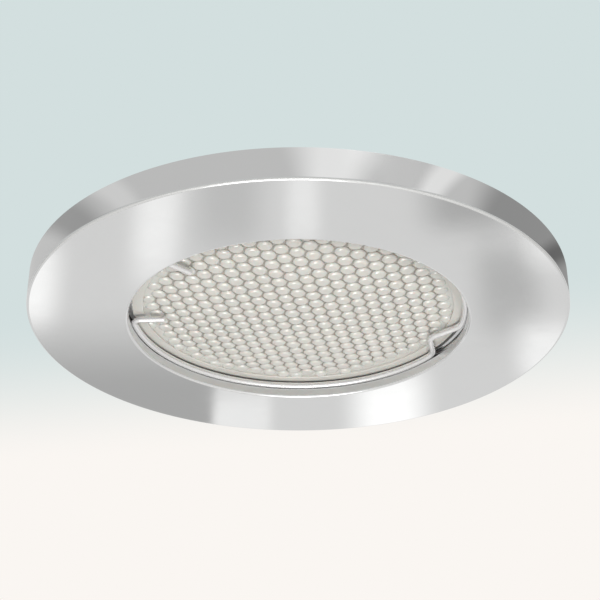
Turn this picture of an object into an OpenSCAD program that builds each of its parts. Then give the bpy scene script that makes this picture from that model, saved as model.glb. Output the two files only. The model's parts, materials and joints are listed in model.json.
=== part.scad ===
// Recessed soffit downlight for a 50 mm push-in lamp.
// Millimetres. +Z points up into the soffit, and z = 0 is the plane of the bezel's back,
// where it bears on the soffit. The origin is the centre of the cut-out in that plane.

/* [Bezel] */
// Outer diameter of the bezel
bezel_d = 81; // [80:0.5:92]
// Depth of the bezel's rim, from its front face to the soffit
bezel_depth = 4.8; // [4.6:0.1:7]
// Thickness of the bezel's face plate
face_wall = 1.6; // [1.2:0.1:2.2]
// Width of the bezel's rim where it bears on the soffit
rim_wall = 2; // [1.4:0.1:3]
// Radius on the outer edge of the bezel's face
edge_round = 0.4; // [0.2:0.05:0.8]
// Radius on the inner edge of the bezel's face
mouth_round = 0.4; // [0.2:0.05:0.6]
// Thickness of the collar that stands up inside the can
collar_wall = 2; // [1.6:0.1:2.4]
// Height of the collar above the soffit face
collar_h = 9; // [8:0.5:10]
// Height by which the foam gasket stands proud before it is squeezed
gasket_proud = 0.6; // [0.2:0.1:1.5]
// Width of the foam gasket behind the bezel's rim
gasket_w = 4; // [3:0.5:6]

/* [Lamp] */
// Diameter of the lamp's front flange
lamp_d = 50.4; // [49.6:0.1:51.4]
// Radial gap between the lamp's flange and the bezel's opening
lamp_gap = 0.4; // [0.3:0.05:0.6]
// Length of the lamp from its front flange to the end of its base
lamp_len = 44; // [40:0.5:50]
// Thickness of the lens's flange
lens_flange = 1.3; // [1:0.1:1.8]
// Thickness of the metal flange behind the lens
shell_flange = 1; // [0.8:0.1:1.4]
// Width of the lens's plain rim round its field of cells
lens_rim = 1.7; // [1.5:0.1:5]
// Distance between the centres of two neighbouring cells
cell_pitch = 2.42; // [2.2:0.02:4]
// Width of the valley between two cells
cell_valley = 0.3; // [0.2:0.05:0.5]
// Height of a cell above the floor of the field
cell_h = 0.35; // [0.2:0.05:0.45]
// Turn of the rows of cells from the X axis, in degrees
cell_turn = 19; // [0:1:59]
// Number of cooling slots in the lamp's shell
fin_slots = 20; // [10:1:24]
// Width of a cooling slot
fin_slot_w = 2; // [1:0.1:2.6]
// Diameter of a contact pin
pin_d = 1.5; // [1.4:0.05:1.6]
// Distance between the two contact pins
pin_pitch = 5.33; // [5:0.01:6.35]
// Length of a contact pin below the lamp's base
pin_len = 7; // [6:0.1:7.4]

/* [Retaining ring] */
// Diameter of the ring's wire
wire_d = 1; // [0.8:0.05:1.2]
// Depth of the wire's centre behind the bezel's front face
ring_depth = 2; // [1.6:0.05:2.4]
// Depth of the groove in the bezel that the wire snaps into
groove_depth = 0.25; // [0.15:0.05:0.5]
// Angle of the middle of the ring's gap
gap_angle = 199.2; // [0:0.1:359]
// Half the angle between the ring's two finger ends
gap_half = 21.9; // [16:0.1:30]
// Radius that the finger ends reach in to
finger_r = 20.3; // [18:0.1:22.5]
// Angle of the tip of the ring's ear
ear_angle = 19.4; // [0:0.1:359]
// Half the angle that the ear spans
ear_half = 11.5; // [9:0.1:16]
// Radius that the tip of the ear reaches in to
ear_r = 22.2; // [21:0.1:23.4]

/* [Can] */
// Wall thickness of the can
can_wall = 0.8; // [0.6:0.1:1.2]
// Room for the leads between the holder's bracket and the top of the can
lead_room = 13; // [12:0.5:20]
// Number of vent slots round the can
vents = 12; // [6:1:16]
// Width of a vent slot
vent_w = 3; // [2:0.5:5]
// Height of a vent slot
vent_h = 12; // [8:0.5:13]

/* [Lampholder] */
// Length of the lampholder's block
holder_w = 18; // [17:0.5:22]
// Thickness of the lampholder's block
holder_t = 10.4; // [9:0.2:12]
// Height of the lampholder's block
holder_h = 10; // [9.6:0.2:12]
// Thickness of the sheet that the brackets are bent from
sheet = 1; // [0.8:0.1:1.2]
// Width of the holder's bracket
strap_w = 12; // [10:0.5:12.5]
// Diameter of an insulated lead
lead_d = 1.8; // [1.4:0.1:2]

/* [Terminal box] */
// Length of the terminal box along X
box_w = 46; // [43:1:50]
// Width of the terminal box along Y
box_l = 38; // [37:1:42]
// Height of the terminal box without its cover
box_h = 17.5; // [17:0.5:24]
// Wall thickness of the terminal box
box_wall = 1.6; // [1.2:0.1:2]
// Thickness of the box's cover
cover_t = 1.6; // [1.2:0.1:2.4]
// Diameter of the supply cable that the entry takes
cable_d = 8; // [6:0.2:8.4]

/* [Soffit clips] */
// Height of a clip's pivot above the soffit face
pivot_z = 18; // [17:0.5:22]
// Length of a clip's arm from its pivot to its tip
arm_len = 30; // [26:0.5:32]
// Angle of the arm below level when it rests on its stop, in degrees
arm_droop = 27; // [10:0.5:28]
// Width of the arm's blade at its tip
arm_w = 8; // [6:0.5:10]
// Diameter of the pivot pin
pivot_d = 2.5; // [2:0.1:3]
// Diameter of the torsion spring's wire
spring_wire = 1; // [0.8:0.05:1.2]
// Whole turns in the torsion spring
spring_turns = 4; // [3:1:4]
// Gap between two turns of the torsion spring
turn_gap = 0.55; // [0.45:0.05:0.6]

/* [Hidden] */
$fn = 64;

// Clearances
fit_gap = 0.05;       // between a screw, rivet or insert and its hole
slip_gap = 0.1;       // between parts that are pushed together by hand
run_gap = 0.05;       // radial gap of a pivot or a contact pin
move_gap = 0.3;       // between faces of parts that move past each other
over = 1;             // how far a cutting shape runs past what it cuts
sink = 0.2;           // how deep a piece of a solid runs into the piece it joins

// Screw heads, each a radius and a height
small_head_r = 2.1;
small_head_t = 1.3;
holder_head_r = 2.2;
holder_head_t = 1.4;
frame_head_r = 2.6;
frame_head_t = 1.8;
block_head_r = 1.8;
block_head_t = 1.4;

// Bezel and what stands in it
bezel_r = bezel_d / 2;
lamp_r = lamp_d / 2;
opening_r = lamp_r + lamp_gap;
collar_r = opening_r + collar_wall;
front_z = -bezel_depth;
gasket_gap = 0.5;
pocket_z = front_z + face_wall;
ring_z = front_z + ring_depth;
lamp_z = ring_z + wire_d / 2 + slip_gap;
flange_t = lens_flange + shell_flange;
lip_z = lamp_z + flange_t + 2 * slip_gap;
lip_t = 1.2;
flange_step = 1.2;
shell_r = lamp_r - flange_step;
lip_r = shell_r + lamp_gap;
ring_r = opening_r + groove_depth - run_gap - wire_d / 2;

// Can
can_in_r = collar_r + slip_gap;
can_r = can_in_r + can_wall;
can_corner = 2;
vent_drop = 2;
collar_screw_up = 0.5;
collar_screw_z = collar_h / 2 + collar_screw_up;
collar_screw_d = 2.5;
collar_screws = 3;
collar_screw_short = 0.4;
collar_hole_from = 0.3;

// Lamp along its axis, measured from its front flange
field_r = lamp_r - lens_rim;
cell_floor = 0.5;
plug_t = 1.3;
plug_inset = 1.2;
plug_r = shell_r - plug_inset;
board_r = 18.8;
board_t = 1.2;
board_room = 2.1;
board_at = flange_t + board_room;
chamber_r = 9.5;
chamber_floor = 3.4;
chamber_at = board_at + board_t + chamber_floor;
wire_hole_r = 2;
neck_r = 12;
neck_len = 8;
base_len = 9;
neck_end = lamp_len - base_len;
neck_at = neck_end - neck_len;
base_plug_t = 6;
base_w = 17;
base_t = 9.6;
base_flange = 1.5;
fin_core = 1;
fin_core_r = neck_r + fin_core;
fin_skip = 2;
fin_from = board_at + board_t + fin_skip;
led_size = 3;
led_t = 0.7;
led_ring_r = 9;
link_pin_r = 0.4;
link_pin_x = 1;
driver_w = 13;
driver_room = 3;
driver_from = chamber_at + driver_room;
driver_hold = 2;
driver_to = neck_end - base_plug_t + driver_hold;
part_row = 2;
big_cap_r = 2.6;
big_cap_h = 7;
coil_part_r = 2.4;
coil_part_h = 4;
chip_w = 5;
chip_t = 1.6;
diode_w = 3;
diode_t = 1.2;
part_x = 3;
pin_in = 6;
base_end_z = lamp_z + lamp_len;

// Lampholder and its bracket
holder_z = base_end_z + move_gap;
holder_top = holder_z + holder_h;
contact_wall = 0.7;
contact_r = pin_d / 2 + contact_wall;
contact_step = 1.5;
contact_sunk = 1;
contact_top = holder_top - contact_sunk;
pin_room = 0.5;
contact_depth = holder_z - move_gap + pin_len + pin_room;
holder_screw_inset = 2.3;
holder_screw_x = holder_w / 2 - holder_screw_inset;
holder_screw_d = 2.5;
holder_screw_in = 6;
pin_lead_in = 0.2;
lead_slot = 1.6;
strap_top = holder_top + sheet;
can_top_in = strap_top + lead_room;
can_top = can_top_in + can_wall;
leg_out = 4;
leg_x = holder_w / 2 + leg_out;
foot_len = 6;
frame_screw_x = leg_x + sheet + foot_len / 2;
frame_screw_d = 3;
frame_screw_in = 3;

// Terminal box
box_floor = can_top + box_wall;
box_top = can_top + box_h;
cover_z = box_top + move_gap;
lead_pair = 1.2;
lead_sleeve_r = lead_pair + lead_d / 2 + slip_gap;
lead_sleeve_wall = 0.4;
grommet_flange = 1.2;
grommet_wall = 1.4;
grommet_lip = 1.2;
grommet_r = lead_sleeve_r + lead_sleeve_wall + slip_gap + grommet_wall;
lead_exit_y = -(box_l / 2 - box_wall - grommet_r - grommet_lip - slip_gap);
block_w = 18;
block_l = 10;
block_h = 10;
block_step = 6;
block_y = lead_exit_y + block_step;
block_mid = block_y + block_l / 2;
block_top = box_floor + block_h;
block_screw_sunk = 2;
terminal_screw_y = 2.5;
port_x = block_w / 4;
port_z = box_floor + block_h / 2;
clamp_tube_r = 2.6;
port_r = 1.6;
terminal_screw_d = 2.5;
cable_r = cable_d / 2;
cable_lift = 3.2;
cable_z = box_floor + cable_r + cable_lift;
cable_wall = 1.2;
cable_lip = 1.2;
cable_neck_r = cable_r + cable_wall;
cable_flange_r = cable_neck_r + cable_lip;
cable_flange_t = 1.5;
saddle_inset = 9;
saddle_y = box_l / 2 - saddle_inset;
saddle_l = 6;
saddle_t = 1.2;
saddle_ear = 2.8;
saddle_screw_out = 5;
saddle_screw_x = cable_r + saddle_screw_out;
saddle_seat_z = cable_z - saddle_t;
boss_r = 2.6;
small_screw_d = 2.5;
hinge_r = 2;
hinge_pin_d = 2;
hinge_x = -box_w / 2 - hinge_r;
hinge_z = cover_z + cover_t / 2;
hinge_half = 16;
hinge_mid = 9;
hinge_web = 1.4;
hinge_web_h = 4.6;
pillar_h = 4;
cradle_w = 6.8;
cradle_l = 4;
saddle_screw_in = 3.4;
rim_h = 1.4;
rim_t = 1.2;
tongue_w = 10;
tongue_t = 1.2;
tongue_h = 5;

// Soffit clips
bracket_t = 0.8;
bracket_r = can_r + bracket_t;
coil_clear = 0.55;
coil_r = pivot_d / 2 + coil_clear + spring_wire / 2;
coil_to_bracket = 0.4;
pivot_x = bracket_r + coil_to_bracket + coil_r + spring_wire / 2;
turn_pitch = spring_wire + turn_gap;
coil_sweep = 360 * spring_turns + 90 + arm_droop;
coil_half = turn_pitch * coil_sweep / 360 / 2;
coil_end_gap = 0.5;
knuckle_y = coil_half + spring_wire / 2 + coil_end_gap;
knuckle_t = 1.3;
knuckle_wall = 0.95;
ear_y = knuckle_y + knuckle_t + move_gap;
ear_rim = 1.2;
ear_plate_r = pivot_d / 2 + ear_rim;
pin_head_t = 0.8;
pin_head_lip = 0.6;
bracket_half = ear_y + sheet;
rivet_d = 2.4;
rivet_head_r = 1.7;
rivet_head_t = 0.5;
rivet_below = 6;
rivet_above = 7;
rivet_edge = 3;
ear_below = 4;
rivet_low = pivot_z - rivet_below;
rivet_high = pivot_z + rivet_above;
foot_t = 3.4;
foot_l = 9;
foot_side = 1.4;
blade_short = 1;
blade_gap = 0.8;

// ---------- helpers ----------

// A quarter-round corner cutter in 2D: what a fillet of radius r takes off a square corner
module corner_cut(r) {
    difference() {
        translate([-over, -over]) square([r + over, r + over]);
        translate([r, r]) circle(r);
    }
}

// A tube between two radii, from z0 up to z1
module ring_solid(r_out, r_in, z0, z1) {
    translate([0, 0, z0]) difference() {
        cylinder(r = r_out, h = z1 - z0);
        translate([0, 0, -over]) cylinder(r = r_in, h = z1 - z0 + 2 * over);
    }
}

// A hole along Z, from z0 to z1
module hole_z(x, y, r, z0, z1) {
    translate([x, y, z0]) cylinder(r = r, h = z1 - z0);
}

// A rod along Y, from y0 to y1
module rod_y(x, z, r, y0, y1) {
    translate([x, y0, z]) rotate([-90, 0, 0]) cylinder(r = r, h = y1 - y0);
}

// A block given by its lowest and highest corners
module block(low, high) {
    translate(low) cube(high - low);
}

// A pan-head screw standing on the plane z = 0, shank down, head up, with a slot across its head
slot_w = 0.6;
slot_depth = 0.5;
module pan_screw(d, len, head_r, head_h) {
    difference() {
        union() {
            translate([0, 0, -len]) cylinder(d = d, h = len);
            cylinder(r = head_r, h = head_h);
        }
        translate([-head_r - over, -slot_w / 2, head_h - slot_depth])
            cube([2 * head_r + 2 * over, slot_w, slot_depth + over]);
    }
}

function unit(v) = v / norm(v);
function polar(r, a) = [r * cos(a), r * sin(a)];
function bezier(a, b, c, d, n) = [for (i = [0:n]) let (t = i / n, s = 1 - t)
    s * s * s * a + 3 * s * s * t * b + 3 * s * t * t * c + t * t * t * d];
function tangent(p, i) = unit(p[min(i + 1, len(p) - 1)] - p[max(i - 1, 0)]);

// Points of a tube's rings: n sides of radius r about each point of the path p.
// across is a direction that the path never runs along.
function tube_points(p, r, n, across) = [for (i = [0:len(p) - 1])
    let (t = tangent(p, i), u = unit(cross(t, across)), v = cross(t, u))
    for (k = [0:n - 1]) p[i] + r * (cos(360 * k / n) * u + sin(360 * k / n) * v)];

// One unbroken tube along the path p, closed at both ends
module tube(p, r, n, across) {
    last = len(p) - 1;
    sides = [for (i = [0:last - 1], k = [0:n - 1]) let (m = (k + 1) % n)
        each [[i * n + k, i * n + m, (i + 1) * n + m], [i * n + k, (i + 1) * n + m, (i + 1) * n + k]]];
    first_cap = [for (k = [1:n - 2]) [0, k + 1, k]];
    last_cap = [for (k = [1:n - 2]) [last * n, last * n + k, last * n + k + 1]];
    polyhedron(points = tube_points(p, r, n, across), faces = concat(sides, first_cap, last_cap));
}

// Least distance between two stretches of the path p that are not neighbours, less the wire
function least_gap(p, d, reach) = min([for (i = [0:len(p) - 1 - reach], j = [i + reach:len(p) - 1])
    norm(p[i] - p[j])]) - d;

// ---------- bezel ----------

// Cross-section of the bezel, x from the axis and y along Z
module bezel_section() {
    difference() {
        union() {
            translate([opening_r, front_z]) square([bezel_r - opening_r, face_wall]);
            translate([bezel_r - rim_wall, front_z]) square([rim_wall, bezel_depth]);
            translate([opening_r, front_z]) square([collar_wall, collar_h - front_z]);
            translate([lip_r, lip_z]) square([opening_r - lip_r + over, lip_t]);
        }
        translate([bezel_r, front_z]) mirror([1, 0]) corner_cut(edge_round);
        translate([opening_r, front_z]) corner_cut(mouth_round);
        translate([opening_r - over, ring_z - wire_d / 2 - run_gap])
            square([over + groove_depth, wire_d + 2 * run_gap]);
    }
}

module bezel() {
    color("gainsboro") difference() {
        rotate_extrude() bezel_section();
        for (k = [0:collar_screws - 1]) rotate([0, 0, 90 + 360 * k / collar_screws])
            translate([opening_r + collar_hole_from, 0, collar_screw_z]) rotate([0, 90, 0])
                cylinder(d = collar_screw_d + 2 * fit_gap, h = collar_wall + over);
    }
}

module soffit_gasket() {
    outer = bezel_r - rim_wall - gasket_gap;
    color("dimgray") ring_solid(outer, outer - gasket_w, pocket_z, gasket_proud);
}

// ---------- retaining ring ----------

// A finger end: radial from its tip, then a small bend into the ring. turn is +1 or -1.
bend_r = 1.2;
function finger(a, turn) = let (c_r = ring_r - bend_r, off = asin(bend_r / c_r), c_a = a + turn * off)
    concat([for (r = [finger_r, (finger_r + c_r) / 2, c_r * cos(off)]) polar(r, a)],
        [for (k = [1:5]) polar(c_r, c_a) + polar(bend_r, c_a - turn * (90 - 18 * k))]);

// The ear: from the ring in to a rounded tip and out again, read with falling angle
ear_round = 1.4;
function soft_corner(a, b, c, cut, n) = let (p = b + cut * unit(a - b), q = b + cut * unit(c - b))
    [for (i = [0:n]) let (t = i / n) (1 - t) * (1 - t) * p + 2 * t * (1 - t) * b + t * t * q];
ear_in = polar(ring_r, ear_angle + ear_half);
ear_tip = polar(ear_r - 0.35, ear_angle);
ear_out = polar(ring_r, ear_angle - ear_half);
ear_path = concat(
    soft_corner(polar(ring_r, ear_angle + ear_half + 4), ear_in, ear_tip, ear_round, 4),
    soft_corner(ear_in, ear_tip, ear_out, ear_round, 5),
    soft_corner(ear_tip, ear_out, polar(ring_r, ear_angle - ear_half - 4), ear_round, 4));

// Sweep of the ring's plain stretches, in whole steps of about 5 degrees
finger_1 = gap_angle - gap_half;
finger_2 = gap_angle + gap_half - 360;
bend_off = asin(bend_r / (ring_r - bend_r));
function stretch(from, to) = let (n = ceil(abs(to - from) / 5))
    [for (i = [0:n]) polar(ring_r, from + (to - from) * i / n)];
ring_path_2d = concat(
    finger(finger_1, -1),
    stretch(finger_1 - bend_off - 4, ear_angle + ear_half + 5),
    ear_path,
    stretch(ear_angle - ear_half - 5, finger_2 + bend_off + 4),
    [for (i = [0:7]) finger(finger_2, 1)[7 - i]]);
ring_path = [for (p = ring_path_2d) [p.x, p.y, ring_z]];

module retaining_ring() {
    color("silver") tube(ring_path, wire_d / 2, 8, [0, 0, 1]);
}

// ---------- can ----------

module can_section() {
    difference() {
        translate([0, pocket_z]) square([can_r, can_top - pocket_z]);
        translate([-over, pocket_z - over]) square([can_in_r + over, can_top_in - pocket_z + over]);
        translate([can_r, can_top]) rotate(180) corner_cut(can_corner);
        translate([-over, can_top - over]) square([over, 2 * over]);
    }
    // the drawn corner's inside follows its outside
    translate([can_in_r, can_top_in]) rotate(180) corner_inside(can_corner - can_wall);
}

// What a drawn inside corner of radius r leaves in a square corner
module corner_inside(r) {
    difference() {
        square([r, r]);
        translate([r, r]) circle(r);
    }
}

module can() {
    vent_z = can_top_in - can_corner - vent_h - vent_drop;
    color("lightsteelblue") difference() {
        rotate_extrude() can_section();
        for (k = [0:collar_screws - 1]) rotate([0, 0, 90 + 360 * k / collar_screws])
            translate([can_in_r - over, 0, collar_screw_z]) rotate([0, 90, 0])
                cylinder(d = collar_screw_d + 2 * fit_gap, h = can_wall + 2 * over);
        for (k = [0:vents - 1]) rotate([0, 0, 360 * (k + 0.5) / vents])
            translate([can_in_r - over, -vent_w / 2, vent_z]) cube([can_wall + 2 * over, vent_w, vent_h]);
        for (s = [-1, 1], z = [rivet_low, rivet_high])
            translate([s * (can_in_r - over), 0, z]) rotate([0, s * 90, 0])
                cylinder(d = rivet_d + 2 * fit_gap, h = can_wall + 2 * over);
        for (s = [-1, 1])
            hole_z(s * frame_screw_x, 0, frame_screw_d / 2 + fit_gap, can_top_in - over, can_top + over);
        hole_z(0, lead_exit_y, grommet_r, can_top_in - over, can_top + over);
    }
}

module can_screws() {
    color("silver") for (k = [0:collar_screws - 1]) rotate([0, 0, 90 + 360 * k / collar_screws])
        translate([can_r, 0, collar_screw_z]) rotate([0, 90, 0])
            pan_screw(collar_screw_d, can_r - opening_r - collar_screw_short, small_head_r, small_head_t);
}

// ---------- lamp ----------

// Centres of the cells: rows of a hexagonal lattice, kept where a whole cell fits
cell_rows = ceil(2 * field_r / cell_pitch);
cell_centres = [for (i = [-cell_rows:cell_rows], j = [-cell_rows:cell_rows])
    let (p = cell_pitch * [i + j / 2, j * sqrt(3) / 2])
    if (norm(p) < field_r - cell_pitch * 0.6) p];

module lamp_lens() {
    cell_r = (cell_pitch - cell_valley) / sqrt(3);
    color("ivory") {
        translate([0, 0, lamp_z]) difference() {
            union() {
                cylinder(r = lamp_r, h = lens_flange);
                cylinder(r = plug_r, h = lens_flange + plug_t);
            }
            translate([0, 0, -over]) cylinder(r = field_r, h = over + cell_floor);
        }
        rotate([0, 0, cell_turn]) translate([0, 0, lamp_z + cell_floor - cell_h])
            linear_extrude(cell_h + sink) for (p = cell_centres)
                translate(p) rotate(30) circle(cell_r, $fn = 6);
    }
}

module lamp_shell() {
    color("silver") translate([0, 0, lamp_z]) difference() {
        rotate_extrude() polygon([
            [0, lens_flange], [lamp_r, lens_flange], [lamp_r, flange_t], [shell_r, flange_t],
            [neck_r, neck_at], [neck_r, neck_end], [0, neck_end]
        ]);
        translate([0, 0, lens_flange - over]) cylinder(r = plug_r + slip_gap, h = plug_t + over);
        translate([0, 0, lens_flange])
            cylinder(r = board_r + slip_gap, h = board_at + board_t - lens_flange);
        cylinder(r = wire_hole_r, h = chamber_at + over);
        translate([0, 0, chamber_at]) cylinder(r = chamber_r, h = neck_end - chamber_at + over);
        for (k = [0:fin_slots - 1]) rotate([0, 0, 360 * k / fin_slots])
            translate([fin_core_r, -fin_slot_w / 2, fin_from])
                cube([lamp_r, fin_slot_w, neck_at - fin_from]);
    }
}

module lamp_led_board() {
    color("white") translate([0, 0, lamp_z + board_at]) cylinder(r = board_r, h = board_t);
}

module lamp_leds() {
    places = concat([[0, 0]], [for (k = [0:5]) polar(led_ring_r, 60 * k)]);
    color("khaki") for (p = places) translate([p.x, p.y, lamp_z + board_at - led_t / 2])
        cube([led_size, led_size, led_t], center = true);
}

module lamp_link_pins() {
    color("gold") for (s = [-1, 1])
        hole_z(s * link_pin_x, 0, link_pin_r, lamp_z + board_at + board_t, lamp_z + driver_from);
}

module lamp_driver_board() {
    color("seagreen") block([-driver_w / 2, -board_t / 2, lamp_z + driver_from],
        [driver_w / 2, board_t / 2, lamp_z + driver_to]);
}

module lamp_driver_parts() {
    z = lamp_z + driver_from + part_row;
    y = board_t / 2;
    color("dimgray") {
        hole_z(-part_x, y + big_cap_r, big_cap_r, z, z + big_cap_h);
        hole_z(part_x, y + coil_part_r, coil_part_r, z, z + coil_part_h);
        block([-chip_w - slip_gap, -y - chip_t, z], [-slip_gap, -y, z + coil_part_h]);
        block([slip_gap + part_row, -y - diode_t, z], [slip_gap + part_row + diode_w, -y, z + diode_w]);
    }
}

module lamp_base() {
    color("whitesmoke") translate([0, 0, lamp_z]) difference() {
        union() {
            translate([0, 0, neck_end - base_plug_t]) cylinder(r = chamber_r - slip_gap, h = base_plug_t);
            translate([0, 0, neck_end]) cylinder(r = neck_r, h = base_flange);
            block([-base_w / 2, -base_t / 2, neck_end + base_flange], [base_w / 2, base_t / 2, lamp_len]);
        }
        block([-driver_w / 2 - slip_gap, -board_t / 2 - slip_gap, neck_end - base_plug_t - over],
            [driver_w / 2 + slip_gap, board_t / 2 + slip_gap, driver_to + slip_gap]);
        for (s = [-1, 1])
            hole_z(s * pin_pitch / 2, 0, pin_d / 2 + fit_gap, lamp_len - pin_in, lamp_len + over);
    }
}

module lamp_pins() {
    color("silver") for (s = [-1, 1])
        hole_z(s * pin_pitch / 2, 0, pin_d / 2, base_end_z - pin_in, base_end_z + pin_len);
}

// ---------- lampholder ----------

module lampholder() {
    color("wheat") difference() {
        block([-holder_w / 2, -holder_t / 2, holder_z], [holder_w / 2, holder_t / 2, holder_top]);
        for (s = [-1, 1]) {
            hole_z(s * pin_pitch / 2, 0, pin_d / 2 + pin_lead_in, holder_z - over, holder_top);
            hole_z(s * pin_pitch / 2, 0, contact_r + fit_gap, holder_z + contact_step, holder_top + over);
            hole_z(s * holder_screw_x, 0, holder_screw_d / 2 + fit_gap,
                holder_top - holder_screw_in - move_gap, holder_top + over);
        }
    }
}

module lampholder_contacts() {
    color("goldenrod") for (s = [-1, 1]) difference() {
        hole_z(s * pin_pitch / 2, 0, contact_r, holder_z + contact_step, contact_top);
        hole_z(s * pin_pitch / 2, 0, pin_d / 2 + run_gap, holder_z, contact_depth);
    }
}

module lampholder_screws() {
    color("silver") for (s = [-1, 1]) translate([s * holder_screw_x, 0, strap_top])
        pan_screw(holder_screw_d, sheet + holder_screw_in, holder_head_r, holder_head_t);
}

// A strap that hangs the lampholder from the top of the can
module holder_bracket() {
    h = strap_w / 2;
    color("lightgray") difference() {
        union() {
            block([-leg_x - sheet, -h, holder_top], [leg_x + sheet, h, strap_top]);
            for (s = [0, 1]) mirror([s, 0, 0]) {
                block([leg_x, -h, holder_top], [leg_x + sheet, h, can_top_in]);
                block([leg_x, -h, can_top_in - sheet], [leg_x + sheet + foot_len, h, can_top_in]);
            }
        }
        block([-pin_pitch / 2 - lead_d, -lead_d / 2 - lead_slot, holder_top - over],
            [pin_pitch / 2 + lead_d, lead_d / 2 + lead_slot, strap_top + over]);
        for (s = [-1, 1]) {
            hole_z(s * holder_screw_x, 0, holder_screw_d / 2 + fit_gap,
                holder_top - over, strap_top + over);
            hole_z(s * frame_screw_x, 0, frame_screw_d / 2 + fit_gap,
                can_top_in - sheet - over, can_top_in + over);
        }
    }
}

// Two screws clamp the bracket, the can and the terminal box together
module frame_screws() {
    color("silver") for (s = [-1, 1]) translate([s * frame_screw_x, 0, can_top_in - sheet])
        mirror([0, 0, 1])
            pan_screw(frame_screw_d, sheet + can_wall + box_wall + frame_screw_in,
                frame_head_r, frame_head_t);
}

// ---------- leads ----------

// A lead's route from its contact, through the sleeve, to its terminal. side is +1 or -1.
function lead_path(side) =
    let (x0 = side * pin_pitch / 2, x1 = side * lead_pair, x2 = side * port_x,
        z0 = strap_top + 0.4, z1 = can_top_in - grommet_flange, z2 = box_floor + grommet_flange,
        y1 = lead_exit_y, y2 = block_y, lift = 0.62 * (z1 - z0), turn = 0.55 * (port_z - z2))
    concat(
        [[x0, 0, contact_top], [x0, 0, holder_top]],
        bezier([x0, 0, z0], [x0, 0, z0 + lift], [x1, y1, z1 - lift], [x1, y1, z1], 12),
        bezier([x1, y1, z2], [x1, y1, z2 + turn], [x2, y2 - turn - 0.6, port_z], [x2, y2 - 0.4, port_z], 8),
        [[x2, y2 + 1, port_z], [x2, y2 + 3.4, port_z]]);

module lead_brown() {
    color("saddlebrown") tube(lead_path(-1), lead_d / 2, 8, [1, 0, 0]);
}

module lead_blue() {
    color("royalblue") tube(lead_path(1), lead_d / 2, 8, [1, 0, 0]);
}

module lead_sleeve() {
    color("beige") translate([0, lead_exit_y, 0])
        ring_solid(lead_sleeve_r + lead_sleeve_wall, lead_sleeve_r,
            can_top_in - grommet_flange, box_floor + grommet_flange);
}

module lead_grommet() {
    inner = lead_sleeve_r + lead_sleeve_wall + slip_gap;
    color("dimgray") translate([0, lead_exit_y, 0]) {
        ring_solid(grommet_r + grommet_lip, inner, can_top_in - grommet_flange, can_top_in);
        ring_solid(grommet_r - fit_gap, inner, can_top_in, box_floor);
        ring_solid(grommet_r + grommet_lip, inner, box_floor, box_floor + grommet_flange);
    }
}

// ---------- terminal box ----------

module terminal_base() {
    x = box_w / 2;
    y = box_l / 2;
    in_x = x - box_wall;
    in_y = y - box_wall;
    cradle_top = cable_z - cable_r - pin_lead_in;
    knuckle_from = hinge_mid + move_gap;
    color("dimgray") difference() {
        union() {
            difference() {
                block([-x, -y, can_top], [x, y, box_top]);
                block([-in_x, -in_y, box_floor], [in_x, in_y, box_top + over]);
            }
            for (s = [-1, 1]) {
                hole_z(s * frame_screw_x, 0, frame_screw_d, box_floor - sink, box_floor + pillar_h);
                hole_z(s * saddle_screw_x, saddle_y, boss_r, box_floor - sink, saddle_seat_z);
            }
            block([-cradle_w / 2, saddle_y - cradle_l / 2, box_floor - sink],
                [cradle_w / 2, saddle_y + cradle_l / 2, cradle_top]);
            for (s = [0, 1]) mirror([0, s, 0]) {
                rod_y(hinge_x, hinge_z, hinge_r, knuckle_from, hinge_half);
                block([hinge_x - hinge_web, knuckle_from, box_top - hinge_web_h],
                    [-x + sink, hinge_half, hinge_z - hinge_r / 2 - sink]);
            }
        }
        block([hinge_x - hinge_r, -knuckle_from, box_top - 2 * sink],
            [-x - slip_gap, knuckle_from, hinge_z + hinge_r]);
        rod_y(hinge_x, hinge_z, hinge_pin_d / 2 + fit_gap, -hinge_half - over, hinge_half + over);
        rod_y(0, cable_z, cable_neck_r, y - box_wall - over, y + over);
        for (s = [-1, 1]) {
            hole_z(s * frame_screw_x, 0, frame_screw_d / 2 + fit_gap,
                can_top - over, box_floor + frame_screw_in + sink);
            hole_z(s * saddle_screw_x, saddle_y, small_screw_d / 2 + fit_gap,
                saddle_seat_z - saddle_screw_in - move_gap, saddle_seat_z + over);
        }
        hole_z(0, lead_exit_y, grommet_r, can_top - over, box_floor + over);
        hole_z(0, block_mid, small_screw_d / 2 + fit_gap, can_top - over, box_floor + over);
    }
}

module terminal_cover() {
    x = box_w / 2;
    y = box_l / 2;
    rim_x = x - box_wall - move_gap - slip_gap;
    rim_y = y - box_wall - move_gap - slip_gap;
    tongue_x = x + move_gap;
    color("gray") difference() {
        union() {
            block([-x, -y, cover_z], [x, y, cover_z + cover_t]);
            difference() {
                block([-rim_x, -rim_y, box_top - rim_h], [rim_x, rim_y, cover_z + sink]);
                block([-rim_x + rim_t, -rim_y + rim_t, box_top - rim_h - over],
                    [rim_x - rim_t, rim_y - rim_t, cover_z]);
            }
            rod_y(hinge_x, hinge_z, hinge_r, -hinge_mid, hinge_mid);
            block([hinge_x, -hinge_mid, cover_z], [-x + sink, hinge_mid, cover_z + cover_t]);
            block([x - sink, -tongue_w / 2, cover_z],
                [tongue_x + tongue_t, tongue_w / 2, cover_z + cover_t]);
            block([tongue_x, -tongue_w / 2, box_top - tongue_h],
                [tongue_x + tongue_t, tongue_w / 2, cover_z + sink]);
        }
        rod_y(hinge_x, hinge_z, hinge_pin_d / 2 + run_gap, -hinge_half - over, hinge_half + over);
    }
}

module cover_hinge_pin() {
    color("silver") rod_y(hinge_x, hinge_z, hinge_pin_d / 2, -hinge_half, hinge_half);
}

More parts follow.
